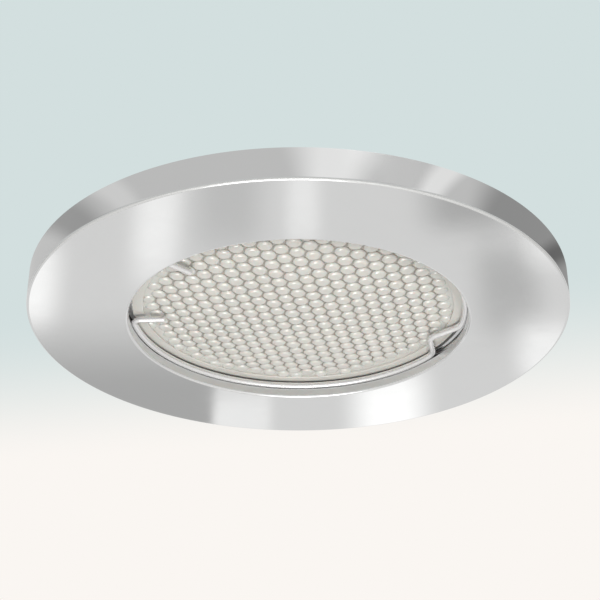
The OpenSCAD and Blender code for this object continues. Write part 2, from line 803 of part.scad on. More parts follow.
module terminal_block() {
    x = block_w / 2;
    color("white") difference() {
        block([-x, block_y, box_floor], [x, block_y + block_l, box_floor + block_h]);
        for (s = [-1, 1]) {
            rod_y(s * port_x, port_z, clamp_tube_r + fit_gap, block_y - over, block_y + block_l + over);
            for (k = [-1, 1]) hole_z(s * port_x, block_mid + k * terminal_screw_y, port_r,
                port_z, block_top + over);
        }
        hole_z(0, block_mid, small_screw_d / 2 + fit_gap, box_floor - over, block_top + over);
        hole_z(0, block_mid, block_head_r + slip_gap, block_top - block_screw_sunk, block_top + over);
    }
}

module terminal_clamps() {
    color("goldenrod") for (s = [-1, 1]) difference() {
        rod_y(s * port_x, port_z, clamp_tube_r, block_y + 1, block_y + block_l - 1);
        rod_y(s * port_x, port_z, port_r, block_y, block_y + block_l);
        for (k = [-1, 1]) hole_z(s * port_x, block_mid + k * terminal_screw_y,
            terminal_screw_d / 2 + fit_gap, port_z, port_z + clamp_tube_r + over);
    }
}

module terminal_screws() {
    top = block_top - slot_w;
    tip = port_z + lead_d / 2 + slip_gap;
    color("silver") for (s = [-1, 1], k = [-1, 1])
        translate([s * port_x, block_mid + k * terminal_screw_y, 0]) difference() {
            hole_z(0, 0, terminal_screw_d / 2, tip, top);
            block([-terminal_screw_d, -slot_w / 2, top - slot_w],
                [terminal_screw_d, slot_w / 2, top + over]);
        }
}

module block_screw() {
    color("silver") translate([0, block_mid, block_top - block_screw_sunk])
        pan_screw(small_screw_d, block_h - block_screw_sunk + box_wall, block_head_r, block_head_t);
}

// Cross-section of the cable clamp: a saddle over the cable and a flat ear on each side
module clamp_section() {
    r = cable_r + 2 * pin_lead_in;
    half = saddle_screw_x + saddle_ear;
    difference() {
        union() {
            circle(r + saddle_t);
            translate([-half, -saddle_t]) square([2 * half, saddle_t]);
        }
        circle(r);
        translate([-2 * r, -saddle_t - 2 * r]) square([4 * r, 2 * r]);
    }
}

module cable_clamp() {
    color("lightgray") difference() {
        translate([0, saddle_y + saddle_l / 2, cable_z]) rotate([90, 0, 0])
            linear_extrude(saddle_l) clamp_section();
        for (s = [-1, 1])
            hole_z(s * saddle_screw_x, saddle_y, small_screw_d / 2 + fit_gap,
                saddle_seat_z - over, cable_z + over);
    }
}

module clamp_screws() {
    color("silver") for (s = [-1, 1]) translate([s * saddle_screw_x, saddle_y, cable_z])
        pan_screw(small_screw_d, saddle_t + saddle_screw_in, small_head_r, small_head_t);
}

module cable_grommet() {
    y = box_l / 2;
    color("black") difference() {
        union() {
            rod_y(0, cable_z, cable_flange_r, y - box_wall - cable_flange_t, y - box_wall);
            rod_y(0, cable_z, cable_neck_r - fit_gap, y - box_wall, y);
            rod_y(0, cable_z, cable_flange_r, y, y + cable_flange_t);
        }
        rod_y(0, cable_z, cable_r, y - box_wall - cable_flange_t - over, y + cable_flange_t + over);
    }
}

// ---------- soffit clips ----------

// Each clip is drawn on the right, and on the left it is mirrored
module on_side(side) {
    if (side > 0) children();
    else mirror([1, 0, 0]) children();
}

module clip_bracket(side) {
    color("silver") on_side(side) difference() {
        union() {
            intersection() {
                ring_solid(bracket_r, can_r + fit_gap, rivet_low - rivet_edge, rivet_high + rivet_edge);
                block([0, -bracket_half, 0], [bracket_r, bracket_half, rivet_high + rivet_edge + over]);
            }
            for (s = [0, 1]) mirror([0, s, 0]) difference() {
                union() {
                    rod_y(pivot_x, pivot_z, ear_plate_r, ear_y, bracket_half);
                    block([can_r - over, ear_y, pivot_z - ear_below],
                        [pivot_x, bracket_half, pivot_z + ear_plate_r]);
                }
                cylinder(r = (can_r + bracket_r) / 2, h = rivet_high);
            }
        }
        rod_y(pivot_x, pivot_z, pivot_d / 2 + fit_gap, -bracket_half - over, bracket_half + over);
        for (z = [rivet_low, rivet_high]) translate([can_r - over, 0, z]) rotate([0, 90, 0])
            cylinder(d = rivet_d + 2 * fit_gap, h = 2 * over + sheet);
    }
}

module clip_bracket_left() { clip_bracket(-1); }
module clip_bracket_right() { clip_bracket(1); }

// Each rivet's inner head stops where its edge meets the can's curved wall
module clip_rivets() {
    seat = sqrt(can_in_r * can_in_r - rivet_head_r * rivet_head_r) - fit_gap;
    low = seat - rivet_head_t;
    color("lightgray") for (side = [-1, 1], z = [rivet_low, rivet_high]) on_side(side)
        translate([0, 0, z]) rotate([0, 90, 0]) {
            translate([0, 0, low]) cylinder(r = rivet_head_r, h = rivet_head_t);
            translate([0, 0, low]) cylinder(d = rivet_d, h = bracket_r - low + rivet_head_t);
            translate([0, 0, bracket_r]) cylinder(r = rivet_head_r, h = rivet_head_t);
        }
}

module clip_pin(side) {
    color("lightgray") on_side(side) {
        rod_y(pivot_x, pivot_z, pivot_d / 2, -bracket_half - pin_head_t, bracket_half + pin_head_t);
        for (s = [0, 1]) mirror([0, s, 0])
            rod_y(pivot_x, pivot_z, pivot_d / 2 + pin_head_lip, bracket_half, bracket_half + pin_head_t);
    }
}

module clip_pin_left() { clip_pin(-1); }
module clip_pin_right() { clip_pin(1); }

// Places an arm's own frame, which runs out along X from the pivot, at its rest angle
module at_pivot(side) {
    on_side(side) translate([pivot_x, 0, pivot_z]) rotate([0, arm_droop, 0]) children();
}

blade_from = coil_r + spring_wire / 2 + blade_gap;
blade_to = arm_len - blade_short;
taper = 4;
rib_w = 1.8;
rib_h = 0.5;

module clip_arm(side) {
    w0 = knuckle_y + knuckle_t;
    color("silver") difference() {
        union() {
            at_pivot(side) {
                for (s = [0, 1]) mirror([0, s, 0]) {
                    rod_y(0, 0, pivot_d / 2 + knuckle_wall, knuckle_y, w0);
                    block([0, knuckle_y, -sheet / 2], [blade_from + 1, w0, sheet / 2]);
                }
                translate([0, 0, -sheet / 2]) linear_extrude(sheet) polygon([
                    [blade_from, -w0], [blade_from + taper, -w0],
                    [blade_from + 2 * taper, -arm_w / 2], [blade_to, -arm_w / 2],
                    [blade_to, arm_w / 2], [blade_from + 2 * taper, arm_w / 2],
                    [blade_from + taper, w0], [blade_from, w0]
                ]);
                block([blade_from + over, -rib_w / 2, 0],
                    [arm_len - foot_l - over, rib_w / 2, sheet / 2 + rib_h]);
            }
            // the heel that meets the bracket when the arm is down
            on_side(side) translate([pivot_x, 0, pivot_z]) for (s = [0, 1]) mirror([0, s, 0])
                block([bracket_r - pivot_x + slip_gap, knuckle_y + sink, -pivot_d / 2 - 3.5 * sink],
                    [-pivot_d / 2 - fit_gap, w0 - sink, -2 * sink]);
        }
        at_pivot(side) rod_y(0, 0, pivot_d / 2 + run_gap, -w0 - over, w0 + over);
    }
}

module clip_arm_left() { clip_arm(-1); }
module clip_arm_right() { clip_arm(1); }

module clip_foot(side) {
    r = foot_t / 2;
    w = arm_w / 2 + foot_side;
    color("dimgray") at_pivot(side) difference() {
        union() {
            block([arm_len - foot_l, -w, -r], [arm_len - r, w, r]);
            rod_y(arm_len - r, 0, r, -w, w);
        }
        block([arm_len - foot_l - over, -arm_w / 2 - fit_gap, -sheet / 2 - fit_gap],
            [blade_to + fit_gap, arm_w / 2 + fit_gap, sheet / 2 + fit_gap]);
    }
}

module clip_foot_left() { clip_foot(-1); }
module clip_foot_right() { clip_foot(1); }

// The spring's tail on the bracket, its turns round the pin, and its tail on the arm
tail_up = 9;
tail_out = 9;
coil_steps = 8 * spring_turns + 3;
spring_path = concat(
    [[-coil_r - 0.3, -coil_half, tail_up], [-coil_r - 0.1, -coil_half, tail_up / 2]],
    [for (i = [0:coil_steps])
        let (a = 180 - coil_sweep * i / coil_steps, y = coil_half * (2 * i / coil_steps - 1))
        [coil_r * cos(a), y, coil_r * sin(a)]],
    [for (t = [0.5, 1])
        let (u = tail_out * t, v = coil_r - (coil_r - (sheet + spring_wire) / 2 - slip_gap) * t)
        [u * cos(arm_droop) + v * sin(arm_droop), coil_half, v * cos(arm_droop) - u * sin(arm_droop)]]);
echo(spring_least_gap = least_gap(spring_path, spring_wire, 5));

module clip_spring(side) {
    color("gray") on_side(side) translate([pivot_x, 0, pivot_z])
        tube(spring_path, spring_wire / 2, 6, [0, 1, 0]);
}

module clip_spring_left() { clip_spring(-1); }
module clip_spring_right() { clip_spring(1); }

bezel();
soffit_gasket();
retaining_ring();
can();
can_screws();
lamp_lens();
lamp_shell();
lamp_led_board();
lamp_leds();
lamp_link_pins();
lamp_driver_board();
lamp_driver_parts();
lamp_base();
lamp_pins();
lampholder();
lampholder_contacts();
lampholder_screws();
holder_bracket();
frame_screws();
lead_brown();
lead_blue();
lead_sleeve();
lead_grommet();
terminal_base();
terminal_cover();
cover_hinge_pin();
terminal_block();
terminal_clamps();
terminal_screws();
block_screw();
cable_clamp();
clamp_screws();
cable_grommet();
clip_bracket_left();
clip_bracket_right();
clip_rivets();
clip_pin_left();
clip_pin_right();
clip_arm_left();
clip_arm_right();
clip_foot_left();
clip_foot_right();
clip_spring_left();
clip_spring_right();
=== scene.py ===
"""Looks of a recessed soffit downlight with a push-in lamp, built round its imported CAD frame.

Every length of the light's own parts is in millimetres, as a maker would read it off a drawing,
and the mesh helpers turn it into Blender's metres. The studio's lengths are in metres. The
frame's origin is the centre of the cut-out in the plane of the soffit face, and +Z points up
into the soffit.
"""

from __future__ import annotations

import json
import logging
import math
from dataclasses import dataclass, field
from enum import Enum
from typing import Callable, Iterable, Sequence, Union

import bmesh
import bpy
from mathutils import Matrix, Vector

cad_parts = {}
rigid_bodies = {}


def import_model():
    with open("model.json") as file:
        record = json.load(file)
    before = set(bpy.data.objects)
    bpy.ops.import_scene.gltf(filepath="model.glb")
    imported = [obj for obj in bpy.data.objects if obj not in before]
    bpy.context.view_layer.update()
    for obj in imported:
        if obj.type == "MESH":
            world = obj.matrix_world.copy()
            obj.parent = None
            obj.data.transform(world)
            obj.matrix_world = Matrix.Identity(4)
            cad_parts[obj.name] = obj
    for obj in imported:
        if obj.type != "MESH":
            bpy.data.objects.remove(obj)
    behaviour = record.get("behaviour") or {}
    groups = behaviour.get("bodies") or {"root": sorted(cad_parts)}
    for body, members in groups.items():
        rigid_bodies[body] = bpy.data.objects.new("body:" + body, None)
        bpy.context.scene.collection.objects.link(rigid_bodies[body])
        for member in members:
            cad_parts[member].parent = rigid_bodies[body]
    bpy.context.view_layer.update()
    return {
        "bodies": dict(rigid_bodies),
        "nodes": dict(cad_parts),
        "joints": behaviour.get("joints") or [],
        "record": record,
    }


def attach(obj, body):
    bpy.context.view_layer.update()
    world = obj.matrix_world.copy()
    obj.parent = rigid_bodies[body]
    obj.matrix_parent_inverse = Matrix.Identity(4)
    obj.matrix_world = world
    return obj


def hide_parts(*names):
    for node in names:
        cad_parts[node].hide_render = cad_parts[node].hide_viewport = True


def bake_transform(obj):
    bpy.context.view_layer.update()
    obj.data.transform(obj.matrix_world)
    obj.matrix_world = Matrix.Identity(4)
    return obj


LOG = logging.getLogger("downlight")
MM = 0.001
Colour = tuple[float, float, float]
Point = tuple[float, float, float]
Profile = list[tuple[float, float]]
Slots = tuple[tuple[str, str], ...]
Feed = Union[bpy.types.NodeSocket, float, Sequence[float]]

BEVEL_SAMPLES = 4
COAT_ROUGHNESS = 0.12
DUST_COLOUR: Colour = (0.62, 0.60, 0.56)
SKIN_DEPTH = 0.0015  # how far light spreads under a pale plastic's skin, in metres
WELD = 1e-7  # points closer than this are one point, in metres
AXIS_R = 0.001  # the radius that closes a turned piece at its axis
MESH_TOUCH = 2e-6  # points of a CAD mesh closer than this are one point, in metres
FLAT_ANGLE = 0.6  # facets of a CAD mesh that meet within this many degrees are one face
EDGE_ANGLE = 40.0  # edges of a CAD mesh that turn more than this many degrees are rounded
CREASE = 35.0  # edges of a new mesh that turn more than this many degrees stay sharp
TUBE_CREASE = 50.0
HOLD_INSET = 0.04  # how far from its ends a long stretch of a profile is held, in millimetres


class Side(Enum):
    """The side of the light that a soffit clip is on, seen from the cable entry's far side."""

    LEFT = -1
    RIGHT = 1

    @property
    def tag(self) -> str:
        """The side as it is written in node names."""
        return self.name.lower()


class Stuff(Enum):
    """What a finish is of, and so how metallic it renders."""

    METAL = 1.0
    NON_METAL = 0.0


class Effect(Enum):
    """The surface effects that finishes share, each of them one shader node group."""

    MOTTLE = "mottle"
    RELIEF = "relief"
    EDGE_WEAR = "edge_wear"
    DUST = "dust"
    SMUDGE = "smudge"
    BORE = "bore"


class Socket(Enum):
    """The kinds of socket that a shader node group has."""

    VECTOR = "NodeSocketVector"
    COLOUR = "NodeSocketColor"
    VALUE = "NodeSocketFloat"


# ---------------------------------------------------------------------------
# Shader nodes and node groups
# ---------------------------------------------------------------------------


def opaque(colour: Colour) -> tuple[float, float, float, float]:
    """A colour as a socket takes it."""
    return (*colour, 1.0)


class Graph:
    """Writes the nodes of one shader tree, with one call for each node."""

    def __init__(self, tree: bpy.types.ShaderNodeTree) -> None:
        """Takes the tree that it writes to."""
        self.tree = tree

    @classmethod
    def cleared(cls, owner: bpy.types.Material | bpy.types.World) -> Graph:
        """Empties the node tree of a material or world.

        Args:
            owner: The material or world.

        Returns:
            The graph that writes to it.
        """
        owner.use_nodes = True
        owner.node_tree.nodes.clear()
        return cls(owner.node_tree)

    def feed(self, node: bpy.types.Node, feeds: dict[str | int, Feed]) -> None:
        """Links or sets inputs of a node.

        Args:
            node: The node.
            feeds: For each input, by name or number, the socket to link or the value to set.
        """
        for key, value in feeds.items():
            if isinstance(value, bpy.types.NodeSocket):
                self.tree.links.new(value, node.inputs[key])
            else:
                node.inputs[key].default_value = value

    def add(
        self, kind: str, feeds: dict[str | int, Feed] | None = None, **settings: object
    ) -> bpy.types.Node:
        """Adds a node.

        Args:
            kind: Its type, without the leading ShaderNode.
            feeds: What each of its inputs gets.
            settings: Properties of the node itself.

        Returns:
            The node.
        """
        node = self.tree.nodes.new(f"ShaderNode{kind}")
        for name, value in settings.items():
            setattr(node, name, value)
        self.feed(node, feeds or {})
        return node

    def math(self, operation: str, *feeds: Feed, clamp: bool = False) -> bpy.types.NodeSocket:
        """Adds a Math node.

        Args:
            operation: What it works out.
            feeds: Its inputs, in order.
            clamp: Whether its result stays between 0 and 1.

        Returns:
            The result's socket.
        """
        settings = {"operation": operation, "use_clamp": clamp}
        return self.add("Math", dict(enumerate(feeds)), **settings).outputs[0]

    def ramp(
        self, value: Feed, low: float, high: float, smooth: bool = False
    ) -> bpy.types.NodeSocket:
        """Turns a value into a mask that goes from 0 to 1.

        Args:
            value: The value.
            low: Where the mask is 0.
            high: Where the mask is 1.
            smooth: Whether it eases in and out.

        Returns:
            The mask's socket.
        """
        feeds = {"Value": value, "From Min": low, "From Max": high}
        way = "SMOOTHSTEP" if smooth else "LINEAR"
        return self.add("MapRange", feeds, interpolation_type=way).outputs["Result"]

    def noise(self, place: Feed, scale: Feed, detail: float) -> bpy.types.NodeSocket:
        """Adds cloudy noise, from 0 to 1."""
        feeds = {"Vector": place, "Scale": scale, "Detail": detail}
        return self.add("TexNoise", feeds).outputs["Fac"]

    def mix(self, share: Feed, under: Feed, over: Feed) -> bpy.types.NodeSocket:
        """Lays one colour over another where a mask says."""
        feeds = {"Factor": share, "A": under, "B": over}
        return self.add("Mix", feeds, data_type="RGBA").outputs["Result"]

    def vector(self, operation: str, *feeds: Feed) -> bpy.types.Node:
        """Adds a Vector Math node."""
        return self.add("VectorMath", dict(enumerate(feeds)), operation=operation)

    def split(self, vector: Feed) -> bpy.types.NodeOutputs:
        """The X, Y and Z of a vector."""
        return self.add("SeparateXYZ", {0: vector}).outputs


class GroupLibrary:
    """Builds each shared shader node group once and places it in materials."""

    FINE_SCALE = 7.0  # how much finer the fast noise is than the slow one
    FINE_SHARE = 0.35  # how much of the fast noise goes on top of the slow one
    TONE_RANGE = (0.45, 0.9)  # the sum of both that gives the tones 0 and 1
    EDGE_RANGE = (0.995, 0.85)  # how alike true and rounded normal are, from face to edge
    PATCH_RANGE = (0.42, 0.62)  # the noise that is left alone and that is worn right through
    UP_RANGE = (0.3, 0.95)  # how far a face looks up to be clean and to be dusty
    MATT_ROUGHNESS = 0.36
    WORN_ROUGHNESS = 0.12
    DUSTY_ROUGHNESS = 0.5

    def __init__(self) -> None:
        """Starts with no groups."""
        self._made: dict[Effect, bpy.types.ShaderNodeTree] = {}

    def place(
        self, graph: Graph, effect: Effect, feeds: dict[str | int, Feed]
    ) -> bpy.types.NodeOutputs:
        """Places an effect in a material, building its group on first use.

        Args:
            graph: The material's graph.
            effect: The effect.
            feeds: What each of its inputs gets.

        Returns:
            The outputs of the placed group.
        """
        makers: dict[Effect, Callable[[], bpy.types.ShaderNodeTree]] = {
            Effect.MOTTLE: self._mottle,
            Effect.RELIEF: self._relief,
            Effect.EDGE_WEAR: self._edge_wear,
            Effect.DUST: self._dust,
            Effect.SMUDGE: self._smudge,
            Effect.BORE: self._bore,
        }
        if effect not in self._made:
            self._made[effect] = makers[effect]()
        return graph.add("Group", feeds, node_tree=self._made[effect]).outputs

    @staticmethod
    def _start(
        effect: Effect, inputs: dict[str, tuple[Socket, object]]
    ) -> tuple[Graph, bpy.types.NodeOutputs]:
        """Makes an effect's empty group, with its inputs.

        Args:
            effect: The effect.
            inputs: The kind and the default of each input.

        Returns:
            The group's graph and what it is given.
        """
        tree = bpy.data.node_groups.new(effect.value, "ShaderNodeTree")
        for label, (kind, default) in inputs.items():
            socket = tree.interface.new_socket(name=label, in_out="INPUT", socket_type=kind.value)
            if default is not None:
                socket.default_value = default
        return Graph(tree), tree.nodes.new("NodeGroupInput").outputs

    @staticmethod
    def _end(
        graph: Graph, results: dict[str, tuple[Socket, bpy.types.NodeSocket]]
    ) -> bpy.types.ShaderNodeTree:
        """Gives a group its outputs.

        Args:
            graph: The group's graph.
            results: The kind of each output and the socket that feeds it.

        Returns:
            The finished group.
        """
        tree = graph.tree
        for label, (kind, _) in results.items():
            tree.interface.new_socket(name=label, in_out="OUTPUT", socket_type=kind.value)
        out = tree.nodes.new("NodeGroupOutput")
        graph.feed(out, {label: socket for label, (_, socket) in results.items()})
        return tree

    def _mottle(self) -> bpy.types.ShaderNodeTree:
        """Slow and fast changes of tone over a surface.

        Returns:
            A group that puts out the varied colour and the tone itself, from 0 to 1.
        """
        graph, given = self._start(Effect.MOTTLE, {
            "Vector": (Socket.VECTOR, None),
            "Colour": (Socket.COLOUR, (0.8, 0.8, 0.8, 1)),
            "Shade": (Socket.COLOUR, (0.6, 0.6, 0.6, 1)),
            "Scale": (Socket.VALUE, 80.0),
            "Amount": (Socket.VALUE, 0.3),
        })
        slow = graph.noise(given["Vector"], given["Scale"], 5)
        finer = graph.math("MULTIPLY", given["Scale"], self.FINE_SCALE)
        fast = graph.noise(given["Vector"], finer, 2)
        both = graph.math("MULTIPLY_ADD", fast, self.FINE_SHARE, slow)
        tone = graph.ramp(both, *self.TONE_RANGE)
        share = graph.math("MULTIPLY", tone, given["Amount"])
        colour = graph.mix(share, given["Colour"], given["Shade"])
        return self._end(graph, {
            "Colour": (Socket.COLOUR, colour), "Tone": (Socket.VALUE, tone),
        })

    def _relief(self) -> bpy.types.ShaderNodeTree:
        """Fine bumps and pits, stretched along one axis where the surface was drawn.

        Returns:
            A group that puts out the height of the bumps, from 0 to 1.
        """
        graph, given = self._start(Effect.RELIEF, {
            "Vector": (Socket.VECTOR, None),
            "Stretch": (Socket.VECTOR, (1.0, 1.0, 1.0)),
            "Scale": (Socket.VALUE, 900.0),
            "Pits": (Socket.VALUE, 0.0),
        })
        pulled = graph.vector("MULTIPLY", given["Vector"], given["Stretch"]).outputs["Vector"]
        bumps = graph.noise(pulled, given["Scale"], 3)
        cells = graph.add("TexVoronoi", {"Vector": pulled, "Scale": given["Scale"]})
        pits = graph.math("MULTIPLY", cells.outputs["Distance"], given["Pits"])
        return self._end(graph, {"Height": (Socket.VALUE, graph.math("ADD", bumps, pits))})

    def _edge_wear(self) -> bpy.types.ShaderNodeTree:
        """Where handling and tools have rubbed the outer edges.

        Returns:
            A group that puts out the worn share, from 0 to 1.
        """
        graph, given = self._start(Effect.EDGE_WEAR, {
            "Vector": (Socket.VECTOR, None),
            "Radius": (Socket.VALUE, 0.0003),
            "Scale": (Socket.VALUE, 400.0),
            "Amount": (Socket.VALUE, 0.5),
        })
        rounded = graph.add("Bevel", {"Radius": given["Radius"]}, samples=BEVEL_SAMPLES)
        plain = graph.add("NewGeometry").outputs["Normal"]
        alike = graph.vector("DOT_PRODUCT", rounded.outputs["Normal"], plain).outputs["Value"]
        patch = graph.ramp(graph.noise(given["Vector"], given["Scale"], 4), *self.PATCH_RANGE)
        both = graph.math("MULTIPLY", graph.ramp(alike, *self.EDGE_RANGE), patch)
        wear = graph.math("MULTIPLY", both, given["Amount"])
        return self._end(graph, {"Wear": (Socket.VALUE, wear)})

    def _dust(self) -> bpy.types.ShaderNodeTree:
        """Loft dust that has settled on the faces that look up.

        Returns:
            A group that puts out the dusty share, from 0 to 1.
        """
        graph, given = self._start(Effect.DUST, {
            "Vector": (Socket.VECTOR, None),
            "Scale": (Socket.VALUE, 250.0),
            "Amount": (Socket.VALUE, 0.2),
        })
        up = graph.split(graph.add("NewGeometry").outputs["Normal"])["Z"]
        patch = graph.noise(given["Vector"], given["Scale"], 6)
        both = graph.math("MULTIPLY", patch, graph.ramp(up, *self.UP_RANGE))
        dust = graph.math("MULTIPLY", both, given["Amount"])
        return self._end(graph, {"Dust": (Socket.VALUE, dust)})

    def _bore(self) -> bpy.types.ShaderNodeTree:
        """The inside of a turned hole along Z, which the polishing wheel doesn't reach.

        Returns:
            A group that puts out 1 inside the radius and 0 outside it.
        """
        graph, given = self._start(Effect.BORE, {
            "Vector": (Socket.VECTOR, None), "Radius": (Socket.VALUE, 0.02),
        })
        flat = graph.vector("MULTIPLY", given["Vector"], (1.0, 1.0, 0.0)).outputs["Vector"]
        reach = graph.vector("LENGTH", flat).outputs["Value"]
        inside = graph.math("LESS_THAN", reach, given["Radius"])
        return self._end(graph, {"Inside": (Socket.VALUE, inside)})

    def _smudge(self) -> bpy.types.ShaderNodeTree:
        """How rough the surface is from place to place, from the tone, the wear and the dust.

        Returns:
            A group that puts out a roughness.
        """
        graph, given = self._start(Effect.SMUDGE, {
            "Roughness": (Socket.VALUE, 0.4),
            "Spread": (Socket.VALUE, 0.1),
            "Tone": (Socket.VALUE, 0.5),
            "Wear": (Socket.VALUE, 0.0),
            "Dust": (Socket.VALUE, 0.0),
            "Matt": (Socket.VALUE, 0.0),
        })
        matt, worn, dusty = self.MATT_ROUGHNESS, self.WORN_ROUGHNESS, self.DUSTY_ROUGHNESS
        rough = graph.math("MULTIPLY_ADD", given["Matt"], matt, given["Roughness"])
        rough = graph.math("MULTIPLY_ADD", given["Tone"], given["Spread"], rough)
        rough = graph.math("MULTIPLY_ADD", given["Wear"], worn, rough)
        rough = graph.math("MULTIPLY_ADD", given["Dust"], dusty, rough, clamp=True)
        return self._end(graph, {"Roughness": (Socket.VALUE, rough)})


# ---------------------------------------------------------------------------
# Finishes
# ---------------------------------------------------------------------------


@dataclass(frozen=True)
class Finish:
    """One finish of the light: its colour, its gloss and the marks that it carries."""

    slot: str
    colour: Colour
    shade: Colour
    stuff: Stuff = Stuff.NON_METAL
    roughness: float = 0.45
    spread: float = 0.1
    mottle_scale: float = 90.0
    mottle: float = 0.4
    relief_scale: float = 1200.0
    relief_depth: float = 0.02
    relief_pits: float = 0.0
    stretch: Point = (1.0, 1.0, 1.0)
    wear: float = 0.0
    wear_colour: Colour = (0.8, 0.8, 0.8)
    dust: float = 0.0
    coat: float = 0.0
    edge_radius: float = 0.15
    ior: float = 1.45
    subsurface: float = 0.0
    bore_r: float = 0.0

    def build(self, groups: GroupLibrary) -> bpy.types.Material:
        """Makes the Blender material of this finish.

        Args:
            groups: The shared node groups.

        Returns:
            The material.
        """
        material = bpy.data.materials.new(self.slot)
        graph = Graph.cleared(material)
        place = graph.add("TexCoord").outputs["Object"]
        tone = groups.place(graph, Effect.MOTTLE, {
            "Vector": place, "Colour": opaque(self.colour), "Shade": opaque(self.shade),
            "Scale": self.mottle_scale, "Amount": self.mottle,
        })
        colour = tone["Colour"]
        marks: dict[str | int, Feed] = {
            "Roughness": self.roughness, "Spread": self.spread, "Tone": tone["Tone"],
        }
        if self.wear:
            feeds = {"Vector": place, "Radius": 2 * self.edge_radius * MM, "Amount": self.wear}
            marks["Wear"] = groups.place(graph, Effect.EDGE_WEAR, feeds)["Wear"]
            colour = graph.mix(marks["Wear"], colour, opaque(self.wear_colour))
        if self.dust:
            feeds = {"Vector": place, "Amount": self.dust}
            marks["Dust"] = groups.place(graph, Effect.DUST, feeds)["Dust"]
            colour = graph.mix(marks["Dust"], colour, opaque(DUST_COLOUR))
        if self.bore_r:
            feeds = {"Vector": place, "Radius": self.bore_r * MM}
            marks["Matt"] = groups.place(graph, Effect.BORE, feeds)["Inside"]
        shader = graph.add("BsdfPrincipled", {
            "Base Color": colour,
            "Metallic": self.stuff.value,
            "Roughness": groups.place(graph, Effect.SMUDGE, marks)["Roughness"],
            "IOR": self.ior,
            "Normal": self._normal(graph, groups, place),
            "Coat Weight": self.coat,
            "Coat Roughness": COAT_ROUGHNESS,
        })
        if self.subsurface:
            graph.feed(shader, {
                "Subsurface Weight": self.subsurface, "Subsurface Scale": SKIN_DEPTH,
            })
        graph.add("OutputMaterial", {"Surface": shader.outputs["BSDF"]})
        return material

    def _normal(
        self, graph: Graph, groups: GroupLibrary, place: bpy.types.NodeSocket
    ) -> bpy.types.NodeSocket:
        """Adds the fine relief and the softened edges.

        Args:
            graph: The material's graph.
            groups: The shared node groups.
            place: The place on the object.

        Returns:
            The normal's socket.
        """
        height = groups.place(graph, Effect.RELIEF, {
            "Vector": place, "Scale": self.relief_scale,
            "Stretch": self.stretch, "Pits": self.relief_pits,
        })["Height"]
        feeds: dict[str | int, Feed] = {"Distance": self.relief_depth * MM, "Height": height}
        if self.edge_radius:
            soft = graph.add("Bevel", {"Radius": self.edge_radius * MM}, samples=BEVEL_SAMPLES)
            feeds["Normal"] = soft.outputs["Normal"]
        return graph.add("Bump", feeds).outputs["Normal"]


